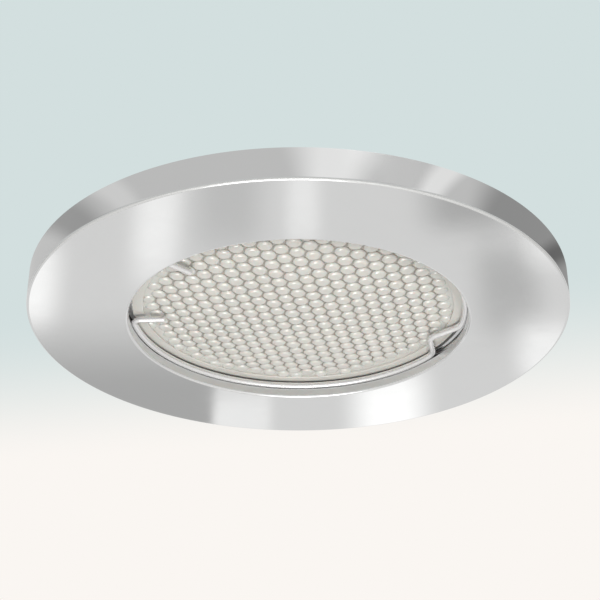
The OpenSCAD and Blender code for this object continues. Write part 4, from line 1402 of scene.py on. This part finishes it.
@dataclass
class Lampholder(SubAssembly):
    """The ceramic lampholder on its strap, and the two leads that feed it."""

    pin_x: float = 2.665
    contact_top: float = 51.1
    holder_top: float = 52.1
    strap_top: float = 53.1
    can_top_in: float = 66.1
    box_floor: float = 68.5
    grommet_flange: float = 1.2
    exit_y: float = -12.0
    pair: float = 1.2
    port_x: float = 4.5
    port_z: float = 73.5
    block_y: float = -6.0
    lead_r: float = 0.9
    lead_clear: float = 0.4
    lead_stops: tuple[float, float] = (0.35, 0.7)
    lead_into: tuple[float, float] = (1.0, 3.4)
    bend_back: float = 0.6
    rise_share: float = 0.62
    turn_share: float = 0.55
    sleeve_in: float = 2.2
    sleeve_wall: float = 0.4
    sleeve_steps: tuple[int, int] = (40, 96)
    strand_h: float = 0.05
    strands: int = 8
    strand_pitch: float = 3.2
    strand_crease: float = 60.0
    grommet_r: float = 4.1
    grommet_lip: float = 1.2
    grommet_round: float = 0.45
    grommet_bevel: float = 0.2
    grommet_play: float = 0.1
    grommet_squeeze: float = 0.05
    finishes: Slots = (
        ("lampholder", "steatite"),
        ("lampholder_contacts", "brass"),
        ("lampholder_screws", "zinc_screw"),
        ("holder_bracket", "galvanised_sheet"),
        ("frame_screws", "zinc_screw"),
    )

    def build(self) -> None:
        """Builds the leads, their sleeve and grommet, and dresses the holder."""
        for side, lead in ((-1, "lead_brown"), (1, "lead_blue")):
            self.add(self._lead(side, f"{lead}_wire"), "housing", lead, lead)
        self.add(self._sleeve(), "housing", "glass_braid", "lead_sleeve")
        self.add(self._grommet(), "housing", "black_rubber", "lead_grommet")
        self.dress(self.finishes)

    @property
    def _passage(self) -> tuple[float, float]:
        """The lowest and the highest point of the way from the can into the box."""
        return self.can_top_in - self.grommet_flange, self.box_floor + self.grommet_flange

    def _lead(self, side: int, name: str) -> bpy.types.Object:
        """Sweeps one lead from its contact, through the sleeve, to its terminal.

        Args:
            side: -1 or +1, for the contact that it starts at.
            name: The lead's name.

        Returns:
            The lead.
        """
        x0, x1, x2 = side * self.pin_x, side * self.pair, side * self.port_x
        z0, (z1, z2) = self.strap_top + self.lead_clear, self._passage
        lift, turn = self.rise_share * (z1 - z0), self.turn_share * (self.port_z - z2)
        path = [Vector((x0, 0, self.contact_top)), Vector((x0, 0, self.holder_top))]
        path += bezier(
            Vector((x0, 0, z0)), Vector((x0, 0, z0 + lift)),
            Vector((x1, self.exit_y, z1 - lift)), Vector((x1, self.exit_y, z1)), 36,
        )
        path += [Vector((x1, self.exit_y, z1 + (z2 - z1) * t)) for t in self.lead_stops]
        path += bezier(
            Vector((x1, self.exit_y, z2)), Vector((x1, self.exit_y, z2 + turn)),
            Vector((x2, self.block_y - turn - self.bend_back, self.port_z)),
            Vector((x2, self.block_y - self.lead_clear, self.port_z)), 24,
        )
        path += [Vector((x2, self.block_y + into, self.port_z)) for into in self.lead_into]
        return tube(name, path, self.lead_r, (1, 0, 0), 20)

    def _sleeve(self) -> bpy.types.Object:
        """Weaves the glass sleeve round the two leads.

        Returns:
            The sleeve.
        """
        low, high = self._passage
        steps, around = self.sleeve_steps
        outer = self.sleeve_in + self.sleeve_wall - self.strand_h
        rows = [low + (high - low) * i / steps for i in range(steps + 1)]
        points: list[Point] = []
        for z in rows:
            lean = self.strand_pitch * z
            for turn in bearings(around):
                wave = self.strands * turn
                r = outer + self.strand_h * math.sin(wave + lean) * math.sin(wave - lean)
                points.append((r * math.cos(turn), self.exit_y + r * math.sin(turn), z))
        for z in (rows[-1], rows[0]):
            for turn in bearings(around):
                x, y = self.sleeve_in * math.cos(turn), self.sleeve_in * math.sin(turn)
                points.append((x, self.exit_y + y, z))
        faces = quads(steps + 3, around, closed=True)
        return mesh_object("sleeve_braid", points, faces, self.strand_crease)

    def _grommet(self) -> bpy.types.Object:
        """Turns the rubber grommet that the sleeve passes through.

        Returns:
            The grommet.
        """
        (low, high), soft, bevel = self._passage, self.grommet_round, self.grommet_bevel
        inner = self.sleeve_in + self.sleeve_wall + self.grommet_play
        neck, lip = self.grommet_r - self.grommet_squeeze, self.grommet_r + self.grommet_lip
        profile = [(inner, low + bevel), (inner + bevel, low)]
        profile += arc((lip - soft, low + soft), soft, 270, 360, 5)
        profile += [(lip, self.can_top_in), (neck, self.can_top_in)]
        profile += [(neck, self.box_floor), (lip, self.box_floor)]
        profile += arc((lip - soft, high - soft), soft, 0, 90, 5)
        profile += [(inner + bevel, high), (inner, high - bevel)]
        return lathe(
            "lead_grommet_moulding", profile, 96, lambda x, y, z: (x, y + self.exit_y, z)
        )


@dataclass
class TerminalBox(SubAssembly):
    """The terminal box on top of the can, with its hinged cover and its cable entry."""

    half_y: float = 19.0
    wall: float = 1.6
    cable_z: float = 75.7
    cable_r: float = 4.0
    neck_r: float = 5.15
    flange_r: float = 6.4
    flange_t: float = 1.5
    flange_round: float = 0.6
    mouth_round: float = 0.3
    mouldings: tuple[tuple[str, str, str, float], ...] = (
        ("terminal_base", "housing", "box_plastic", 0.3),
        ("terminal_cover", "cover", "box_plastic", 0.3),
        ("terminal_block", "housing", "block_plastic", 0.2),
        ("cable_clamp", "housing", "box_plastic", 0.2),
    )
    finishes: Slots = (
        ("cover_hinge_pin", "contact_steel"),
        ("terminal_clamps", "brass"),
        ("terminal_screws", "zinc_screw"),
        ("block_screw", "zinc_screw"),
        ("clamp_screws", "zinc_screw"),
    )

    def build(self) -> None:
        """Builds the softened mouldings and dresses the metal parts."""
        for node, body, slot, radius in self.mouldings:
            self.add(softened(self.nodes[node], f"{node}_moulding", radius), body, slot, node)
        self.add(self._cable_grommet(), "housing", "black_rubber", "cable_grommet")
        self.dress(self.finishes)

    def _cable_grommet(self) -> bpy.types.Object:
        """Turns the cable's rubber grommet, whose axis runs along +Y.

        Returns:
            The grommet.
        """
        inside, outside = self.half_y - self.wall, self.half_y
        low, high = inside - self.flange_t, outside + self.flange_t
        soft, mouth = self.flange_round, self.mouth_round
        profile = arc((self.cable_r + mouth, low + mouth), mouth, 180, 270, 4)
        profile += arc((self.flange_r - soft, low + soft), soft, 270, 360, 6)
        profile += [(self.flange_r, inside), (self.neck_r, inside)]
        profile += [(self.neck_r, outside), (self.flange_r, outside)]
        profile += arc((self.flange_r - soft, high - soft), soft, 0, 90, 6)
        profile += arc((self.cable_r + mouth, high - mouth), mouth, 90, 180, 4)
        return lathe(
            "cable_grommet_moulding", profile, 96, lambda x, y, z: (x, z, self.cable_z - y)
        )


@dataclass
class SoffitClip(SubAssembly):
    """One sprung clip that holds the light up, on one side of the can."""

    side: Side = Side.RIGHT
    pivot_x: float = 32.5
    pivot_z: float = 18.0
    coil_r: float = 2.3
    wire_r: float = 0.5
    coil_half: float = 3.352
    coil_steps: int = 104
    sweep: float = 1557.0
    droop: float = 27.0
    tail: float = 9.0
    tail_bend: float = 1.2
    tail_lean: float = 0.3
    tail_steps: int = 4
    reach: float = 1.1
    foot_round: float = 0.45

    def build(self) -> None:
        """Builds the torsion spring and the foot, and dresses the clip's other parts."""
        tag, arm_body = self.side.tag, f"clip_{self.side.tag}"
        spring = self._spring()
        self.paints.paint(spring, "music_wire")
        low, high = self._spot(0, -self.coil_half, 0), self._spot(0, self.coil_half, 0)
        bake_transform(spring)
        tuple(low)
        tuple(high)
        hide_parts(f"clip_spring_{tag}")
        self.pieces.append(spring)
        foot = f"clip_foot_{tag}"
        moulding = softened(self.nodes[foot], f"{foot}_moulding", self.foot_round, 3)
        self.add(moulding, arm_body, "foot_rubber", foot)
        self.dress((
            (f"clip_arm_{tag}", "galvanised_sheet"),
            (f"clip_bracket_{tag}", "galvanised_sheet"),
            (f"clip_pin_{tag}", "contact_steel"),
        ))

    def _spot(self, x: float, y: float, z: float) -> Point:
        """A point of this clip in the frame, in metres, from its place about the pivot."""
        return (self.side.value * (self.pivot_x + x) * MM, y * MM, (self.pivot_z + z) * MM)

    def spring_path(self) -> list[Vector]:
        """The spring wire's centre line about the pivot of the right-hand clip.

        Returns:
            The points, in millimetres, from the bracket's tail to the arm's tail.
        """
        half, r, lean = self.coil_half, self.coil_r, math.radians(self.droop)
        start = Vector((-r - self.tail_lean, -half, self.tail))
        bend = Vector((-r, -half, self.tail_bend))
        path = [start.lerp(bend, i / 5) for i in range(5)]
        for i in range(self.coil_steps + 1):
            share = i / self.coil_steps
            turn = math.radians(180 - self.sweep * share)
            path.append(Vector((r * math.cos(turn), half * (2 * share - 1), r * math.sin(turn))))
        for i in range(1, self.tail_steps + 1):
            share = i / self.tail_steps
            out, up = self.tail * share, r - (r - self.reach) * share
            x = out * math.cos(lean) + up * math.sin(lean)
            path.append(Vector((x, half, up * math.cos(lean) - out * math.sin(lean))))
        return path

    def _spring(self) -> bpy.types.Object:
        """Sweeps the torsion spring's wire.

        Returns:
            The spring.
        """
        side = self.side.value
        path = [
            Vector((side * (self.pivot_x + p.x), p.y, self.pivot_z + p.z))
            for p in self.spring_path()
        ]
        return tube(f"clip_spring_{self.side.tag}_wire", path, self.wire_r, (0, 1, 0), 14)


@dataclass
class ClipRivets(SubAssembly):
    """The rivets that hold both clip brackets to the can."""

    finishes: Slots = (("clip_rivets", "rivet_aluminium"),)


# ---------------------------------------------------------------------------
# Studio
# ---------------------------------------------------------------------------


@dataclass(frozen=True)
class Card:
    """One soft-edged reflector card, which only gloss can pick up."""

    name: str
    at: Point
    size: tuple[float, float]
    level: float
    soft: tuple[float, float] = (0.4, 0.3)
    turn: Point = (90.0, 0.0, 0.0)


CARD_WALL_Y = 0.30  # how far beyond the light the standing cards are
LAID_R = 0.047  # the bearing radius of the cards that lie on the soffit
LAID_SPAN_R = 0.0415  # where the angle that a laid card covers is measured
LAID_LENGTH = 0.044
LAID_Z = 0.00008
LAID_SOFT_END = 0.02
FACE_DOWN: Point = (180.0, 0.0, 0.0)


def stood(
    name: str, x: float, z: float, width: float, height: float, level: float,
    soft: tuple[float, float] = (0.4, 0.3),
) -> Card:
    """A card that stands beyond the light, where the flat face mirrors it.

    Args:
        name: Its name.
        x: Its middle along X.
        z: Its middle along Z.
        width: Its width.
        height: Its height.
        level: Its brightness.
        soft: The share of its width and of its height that each fade takes.

    Returns:
        The card.
    """
    return Card(name, (x, CARD_WALL_Y, z), (width, height), level, soft)


def laid(name: str, angle: float, span: float, level: float, soft: float = 0.4) -> Card:
    """A card that lies on the soffit beside the rim, where the rim's wall mirrors it.

    Args:
        name: Its name.
        angle: Its bearing from the light's centre.
        span: The angle that it covers.
        level: Its brightness.
        soft: The share of its width that each fade takes.

    Returns:
        The card.
    """
    spot = polar(LAID_R, angle, 0.0)
    size = (2 * LAID_SPAN_R * math.sin(math.radians(span / 2)), LAID_LENGTH)
    turn = (180.0, 0.0, angle + 90.0)
    return Card(name, (spot.x, spot.y, LAID_Z), size, level, (soft, LAID_SOFT_END), turn)


@dataclass(frozen=True)
class SoftLamp:
    """One square area lamp that looks at the light."""

    name: str
    at: Point
    look_at: Point
    size: float
    watts: float
    mirrored: bool = True


@dataclass
class Studio:
    """The camera, the lamps, the floor and the soffit that the light is seen against."""

    camera_at: Point = (0.0, -0.17765, -0.09590)
    pitch: float = 28.341
    yaw: float = -0.0739
    lens: float = 79.2
    sensor: float = 36.0
    clip: tuple[float, float] = (0.005, 20.0)
    world_tone: Colour = (1.0, 0.99, 0.97)
    world_level: float = 0.62
    backdrop_tone: Colour = (0.80, 0.84, 0.85)
    card_tone: Colour = (1.0, 0.997, 0.985)
    card_step: float = 3e-6
    floor_tone: Colour = (0.84, 0.84, 0.83)
    floor_roughness: float = 0.8
    floor_z: float = -0.30
    floor_reach: float = 6.0
    soffit_z: float = 0.0002
    soffit_hole: float = 0.0395
    soffit_reach: float = 1.6
    soffit_steps: int = 96
    upper_tone: Colour = (0.651, 0.738, 0.738)
    lower_tone: Colour = (0.956, 0.922, 0.888)
    fade: tuple[float, float] = (-0.004, 0.060)
    fade_lean: float = 0.18
    lamps: tuple[SoftLamp, ...] = (
        SoftLamp("key", (0.07, -0.33, -0.155), (0, 0, 0), 0.10, 0.95, False),
        SoftLamp("below", (-0.02, 0.06, -0.27), (0, 0, 0), 0.09, 0.24, False),
        SoftLamp("fill", (-0.24, -0.16, -0.26), (0, 0, 0), 0.22, 0.20, False),
        SoftLamp("top", (0.35, -0.45, 0.60), (0, 0, 0.03), 0.35, 2.2),
        SoftLamp("top_fill", (-0.45, 0.40, 0.45), (0, 0, 0.03), 0.45, 1.0),
    )
    cards: tuple[Card, ...] = (
        Card("board", (0.0, 0.31, -0.14), (0.90, 0.60), 0.74, (0.15, 0.15)),
        stood("end_left", -0.112, -0.178, 0.038, 0.054, 1.14),
        stood("band_left", -0.060, -0.210, 0.030, 0.080, 1.04),
        stood("grey_left", -0.030, -0.225, 0.044, 0.080, 0.59),
        stood("band_middle", 0.002, -0.225, 0.022, 0.080, 0.94),
        stood("grey_right", 0.072, -0.222, 0.056, 0.046, 0.46),
        stood("grey_far_right", 0.087, -0.176, 0.040, 0.054, 0.52),
        stood("end_right", 0.100, -0.148, 0.036, 0.034, 1.08),
        stood("end_right_low", 0.106, -0.200, 0.034, 0.036, 0.95),
        stood("grey_low_left", -0.082, -0.120, 0.102, 0.100, 0.44, (0.04, 0.38)),
        stood("band_low_left", -0.022, -0.112, 0.028, 0.050, 0.96, (0.2, 0.3)),
        stood("band_low_right", 0.036, -0.120, 0.044, 0.056, 1.22),
        Card("glint", (-0.02, 0.02, -0.27), (0.15, 0.16), 4.2, (0.3, 0.25), (0.0, 0.0, 0.0)),
        # painted shade: a grey sheet just under the soffit, seen only in reflections, that stands
        # in for the soffit's shade round the rim
        Card("rim_board", (0.0, -0.02, 0.00014), (0.24, 0.18), 0.585, (0.02, 0.02), FACE_DOWN),
        laid("rim_dark_left", 217, 22, 0.36),
        laid("rim_light_left", 231, 11, 0.70),
        laid("rim_light_middle", 277, 22, 0.90),
        laid("rim_light_right", 299, 10, 0.86),
        laid("rim_dark_right", 333, 58, 0.31, 0.16),
        laid("rim_dark_end", 339, 15, 0.15, 0.45),
        laid("rim_light_end", 366, 20, 0.85, 0.35),
        laid("rim_light_start", 176, 18, 0.85, 0.35),
    )

    def camera(self) -> None:
        """Places the camera at the photograph's viewpoint."""
        data = bpy.data.cameras.new("camera")
        data.sensor_width = self.sensor
        data.lens = self.lens
        data.clip_start, data.clip_end = self.clip
        camera = bpy.data.objects.new("camera", data)
        bpy.context.scene.collection.objects.link(camera)
        rise, turn = math.radians(self.pitch), math.radians(self.yaw)
        right = Vector((1, 0, 0))
        ahead = Vector((0, math.cos(rise), math.sin(rise)))
        look = (ahead * math.cos(turn) - right * math.sin(turn)).normalized()
        side = (right * math.cos(turn) + ahead * math.sin(turn)).normalized()
        frame = Matrix((side, side.cross(look), -look)).transposed().to_4x4()
        camera.matrix_world = Matrix.Translation(Vector(self.camera_at)) @ frame
        bpy.context.scene.camera = camera

    def build(self) -> None:
        """Builds the world, the lamps, the cards, the floor and the soffit."""
        bpy.context.scene.view_settings.view_transform = "Standard"
        self._world()
        for lamp in self.lamps:
            self._lamp(lamp)
        for step, card in enumerate(self.cards):
            self._card(card, step)
        self._floor()
        self._soffit()

    def _world(self) -> None:
        """Lights the scene evenly, with a paler backdrop for what the camera sees."""
        world = bpy.data.worlds.new("studio")
        bpy.context.scene.world = world
        graph = Graph.cleared(world)
        light = {"Color": opaque(self.world_tone), "Strength": self.world_level}
        backdrop = {"Color": opaque(self.backdrop_tone), "Strength": 1.0}
        ray = graph.add("LightPath").outputs
        seen = graph.math("MAXIMUM", ray["Is Camera Ray"], ray["Is Glossy Ray"])
        seen = graph.math("MAXIMUM", seen, ray["Is Transmission Ray"])
        mix = graph.add("MixShader", {
            0: seen,
            1: graph.add("Background", light).outputs[0],
            2: graph.add("Background", backdrop).outputs[0],
        })
        graph.add("OutputWorld", {"Surface": mix.outputs[0]})

    @staticmethod
    def _lamp(spec: SoftLamp) -> None:
        """Hangs one area lamp.

        Args:
            spec: Where it hangs, where it looks, and its size and power.
        """
        data = bpy.data.lights.new(spec.name, "AREA")
        data.shape = "SQUARE"
        data.size = spec.size
        data.energy = spec.watts
        lamp = bpy.data.objects.new(spec.name, data)
        bpy.context.scene.collection.objects.link(lamp)
        lamp.location = spec.at
        away = Vector(spec.look_at) - Vector(spec.at)
        lamp.rotation_euler = away.to_track_quat("-Z", "Y").to_euler()
        lamp.visible_camera = False
        lamp.visible_glossy = spec.mirrored

    @staticmethod
    def _stage_piece(
        name: str, points: Sequence[Point], faces: Sequence[Sequence[int]]
    ) -> tuple[bpy.types.Object, Graph]:
        """Makes a flat stage piece, which is not part of the light, and its bare material.

        Args:
            name: Its name.
            points: Its vertices, in metres.
            faces: Its faces.

        Returns:
            The piece and its material's graph.
        """
        mesh = bpy.data.meshes.new(name)
        mesh.from_pydata(points, [], faces)
        piece = add_object(name, mesh)
        material = bpy.data.materials.new(f"{name}_paint")
        piece.data.materials.append(material)
        return piece, Graph.cleared(material)

    @staticmethod
    def _glow(graph: Graph, colour: Feed, level: float, share: Feed) -> None:
        """Lets a stage piece glow where a mask says, and leaves it clear elsewhere.

        Args:
            graph: Its material's graph.
            colour: The colour of the glow.
            level: Its brightness.
            share: The mask.
        """
        glow = graph.add("Emission", {"Color": colour, "Strength": level})
        clear = graph.add("BsdfTransparent")
        mix = graph.add("MixShader", {0: share, 1: clear.outputs[0], 2: glow.outputs[0]})
        graph.add("OutputMaterial", {"Surface": mix.outputs[0]})

    @staticmethod
    def _front(graph: Graph) -> bpy.types.NodeSocket:
        """A mask that is 1 where a stage piece is seen from its front."""
        return graph.math("SUBTRACT", 1.0, graph.add("NewGeometry").outputs["Backfacing"])

    def _card(self, card: Card, step: int) -> None:
        """Hangs one soft-edged card where only gloss can pick it up, clear from behind.

        Args:
            card: Its place, size and brightness.
            step: Its number, which lifts it a hair in front of the card before it.
        """
        x, y = card.size[0] / 2, card.size[1] / 2
        corners = [(-x, -y, 0), (x, -y, 0), (x, y, 0), (-x, y, 0)]
        plane, graph = self._stage_piece(card.name, corners, [(0, 1, 2, 3)])
        plane.rotation_euler = tuple(math.radians(a) for a in card.turn)
        lift = plane.rotation_euler.to_matrix() @ Vector((0.0, 0.0, step * self.card_step))
        plane.location = Vector(card.at) + lift
        plane.visible_camera = False
        plane.visible_diffuse = False
        plane.visible_shadow = False
        across = graph.split(graph.add("TexCoord").outputs["Generated"])
        sides = (self._soft_edge(graph, across[axis], soft) for axis, soft in enumerate(card.soft))
        mask = graph.math("MULTIPLY", graph.math("MULTIPLY", *sides), self._front(graph))
        self._glow(graph, opaque(self.card_tone), card.level, mask)

    @staticmethod
    def _soft_edge(
        graph: Graph, across: bpy.types.NodeSocket, soft: float
    ) -> bpy.types.NodeSocket:
        """A mask that is 1 in the middle of a card and fades to 0 at both edges.

        Args:
            graph: The card's graph.
            across: The place across the card, from 0 to 1.
            soft: The share of the card that each fade takes.

        Returns:
            The mask's socket.
        """
        start = graph.ramp(across, 0.0, soft, smooth=True)
        return graph.math("MULTIPLY", start, graph.ramp(across, 1.0, 1.0 - soft, smooth=True))

    def _floor(self) -> None:
        """Lays the plain pale floor."""
        z, far = self.floor_z, self.floor_reach
        corners = [(-far, -far, z), (far, -far, z), (far, far, z), (-far, far, z)]
        _, graph = self._stage_piece("floor", corners, [(0, 1, 2, 3)])
        paint = {"Base Color": opaque(self.floor_tone), "Roughness": self.floor_roughness}
        shader = graph.add("BsdfPrincipled", paint)
        graph.add("OutputMaterial", {"Surface": shader.outputs["BSDF"]})

    def _soffit(self) -> None:
        """Hangs the pale soffit that hides what is above it from below, and is clear from above.

        It is cool at the near side and warm at the far side.
        """
        points = [
            (r * math.cos(turn), r * math.sin(turn), self.soffit_z)
            for turn in bearings(self.soffit_steps)
            for r in (self.soffit_hole, self.soffit_reach)
        ]
        count = len(points)
        faces = [(k, (k + 2) % count, (k + 3) % count, k + 1) for k in range(0, count, 2)]
        soffit, graph = self._stage_piece("soffit", points, faces)
        soffit.visible_diffuse = False
        soffit.visible_shadow = False
        at = graph.split(graph.add("TexCoord").outputs["Object"])
        along = graph.math("MULTIPLY_ADD", at["X"], self.fade_lean, at["Y"])
        share = graph.ramp(along, *self.fade, smooth=True)
        tint = graph.mix(share, opaque(self.upper_tone), opaque(self.lower_tone))
        self._glow(graph, tint, 1.0, self._front(graph))


# ---------------------------------------------------------------------------
# Main
# ---------------------------------------------------------------------------


def main() -> None:
    """Loads the frame, places the camera, builds and dresses every sub-assembly, and reports."""
    logging.basicConfig(level=logging.INFO, format="%(name)s: %(message)s")
    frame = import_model()
    studio = Studio()
    studio.camera()
    paints = Paintbox()
    nodes = frame["nodes"]
    assemblies: Iterable[SubAssembly] = (
        Trim(nodes, paints),
        Can(nodes, paints),
        Lamp(nodes, paints),
        Lampholder(nodes, paints),
        TerminalBox(nodes, paints),
        SoffitClip(nodes, paints, side=Side.LEFT),
        SoffitClip(nodes, paints, side=Side.RIGHT),
        ClipRivets(nodes, paints),
    )
    for assembly in assemblies:
        assembly.build()
        assembly.report()
    studio.build()


if __name__ == "__main__":
    main()
